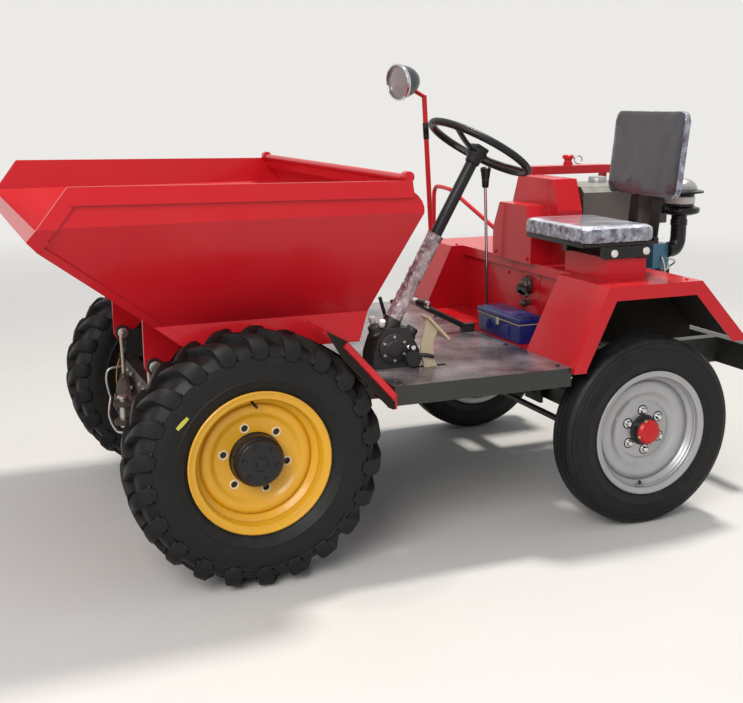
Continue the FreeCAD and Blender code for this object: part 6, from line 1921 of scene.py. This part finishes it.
@dataclass
class Stage:
    """The camera at the photograph's angle, a pale floor and soft lamps."""

    azimuth: float = 157.88
    elevation: float = 12.69
    roll: float = -0.23
    location: Point = (1.6113, 3.8203, 1.4785)
    lens: float = 54.19
    shown: Colour = (0.84, 0.825, 0.8)
    fade: tuple[float, float] = (3.0, 9.0)
    dome: Colour = (0.9, 0.95, 1.0)
    dome_strength: float = 0.58

    def camera(self) -> None:
        """Sets the camera from the measured place and angles."""
        a, e, c = math.radians(self.azimuth), math.radians(self.elevation), math.radians(self.roll)
        back = Vector((math.sin(a) * math.cos(e), -math.cos(a) * math.cos(e), math.sin(e)))
        right = Vector((math.cos(a), math.sin(a), 0.0))
        up = back.cross(right)
        turned = (math.cos(c) * right + math.sin(c) * up, -math.sin(c) * right + math.cos(c) * up, back)
        data = bpy.data.cameras.new("camera")
        data.sensor_width = 36.0
        data.sensor_fit = "HORIZONTAL"
        data.lens = self.lens
        data.clip_end = 200.0
        camera = placed("camera", data)
        camera.matrix_world = Matrix.Translation(Vector(self.location)) @ Matrix(turned).transposed().to_4x4()
        bpy.context.scene.camera = camera

    def floor(self) -> None:
        """A wide pale floor that keeps the object's shadow and fades into the backdrop far away."""
        shape = bmesh.new()
        bmesh.ops.create_grid(shape, x_segments=2, y_segments=2, size=90.0)
        floor = placed("floor", mesh_of(shape))
        material = PALE_FLOOR.make()
        tree = material.node_tree
        surface, output = tree.nodes["Principled BSDF"], tree.nodes["Material Output"]
        glow, mix = tree.nodes.new("ShaderNodeEmission"), tree.nodes.new("ShaderNodeMixShader")
        glow.inputs["Color"].default_value = (*self.shown, 1.0)
        where, reach = tree.nodes.new("ShaderNodeTexCoord"), tree.nodes.new("ShaderNodeVectorMath")
        reach.operation = "LENGTH"
        tree.links.new(where.outputs["Object"], reach.inputs[0])
        far = map_range(tree, reach.outputs["Value"], self.fade[0], self.fade[1], 0.0, 1.0)
        tree.links.new(multiply(tree, far, self.seen(tree)), mix.inputs[0])
        tree.links.new(surface.outputs[0], mix.inputs[1])
        tree.links.new(glow.outputs[0], mix.inputs[2])
        tree.links.new(mix.outputs[0], output.inputs["Surface"])
        floor.data.materials.append(material)

    def seen(self, tree: Tree) -> Socket:
        """1 for rays from the camera, in mirrors and through glass, else 0.

        Args:
            tree: the node tree.

        Returns:
            The value.
        """
        path = tree.nodes.new("ShaderNodeLightPath")
        value = path.outputs["Is Camera Ray"]
        for name in ("Is Glossy Ray", "Is Transmission Ray"):
            more = tree.nodes.new("ShaderNodeMath")
            more.operation = "MAXIMUM"
            tree.links.new(value, more.inputs[0])
            tree.links.new(path.outputs[name], more.inputs[1])
            value = more.outputs["Value"]
        return value

    def lamp(self, name: str, at: Point, towards: Point, size: float, power: float, colour: Colour) -> None:
        """One soft area lamp.

        Args:
            name: the lamp's name.
            at, towards: its place and the point that it faces.
            size: across the disc.
            power: in watts.
            colour: of its light.
        """
        data = bpy.data.lights.new(name, "AREA")
        data.shape = "DISK"
        data.size = size
        data.energy = power
        data.color = colour
        light = placed(name, data)
        light.location = at
        light.rotation_mode = "QUATERNION"
        light.rotation_quaternion = (Vector(towards) - Vector(at)).to_track_quat("-Z", "Y")

    def world(self) -> None:
        """An even dome of light, white to the camera and in mirrors."""
        world = bpy.data.worlds.new("studio")
        bpy.context.scene.world = world
        world.use_nodes = True
        tree = world.node_tree
        output = next(node for node in tree.nodes if node.type == "OUTPUT_WORLD")
        kinds = ("ShaderNodeBackground", "ShaderNodeBackground", "ShaderNodeMixShader")
        dome, shown, mix = (tree.nodes.new(kind) for kind in kinds)
        dome.inputs["Color"].default_value = (*self.dome, 1.0)
        dome.inputs["Strength"].default_value = self.dome_strength
        shown.inputs["Color"].default_value = (*self.shown, 1.0)
        tree.links.new(self.seen(tree), mix.inputs[0])
        tree.links.new(dome.outputs[0], mix.inputs[1])
        tree.links.new(shown.outputs[0], mix.inputs[2])
        tree.links.new(mix.outputs[0], output.inputs[0])

    def build(self) -> None:
        """Makes the camera, floor, lamps and world."""
        self.camera()
        self.floor()
        self.world()
        self.lamp("sun_side", (-2.4, -0.7, 7.2), (0.0, 0.0, 0.3), 0.9, 500.0, (1.0, 0.96, 0.9))
        self.lamp("front_fill", (3.8, 4.4, 4.0), (0.0, 0.0, 0.6), 4.0, 320.0, (1.0, 0.97, 0.95))
        bpy.context.scene.view_settings.view_transform = "Standard"
        LOG.info("stage set")


def main() -> None:
    """Builds each sub-assembly in order."""
    dress_nodes()
    for side in (1, -1):
        LuggedTyre(side).build()
        RibbedTyre(side).build()
        FrontWheel(side).build()
        RearWheel(side).build()
    Seat().build()
    SteeringWheel().build()
    SteeringColumn().build()
    Controls().build()
    Engine().build()
    Lamp().build()
    Nose().build()
    Sheets().build()
    Stage().build()
    bpy.context.view_layer.update()


if __name__ == "__main__":
    logging.basicConfig(level=logging.INFO, format="%(name)s %(message)s")
    main()
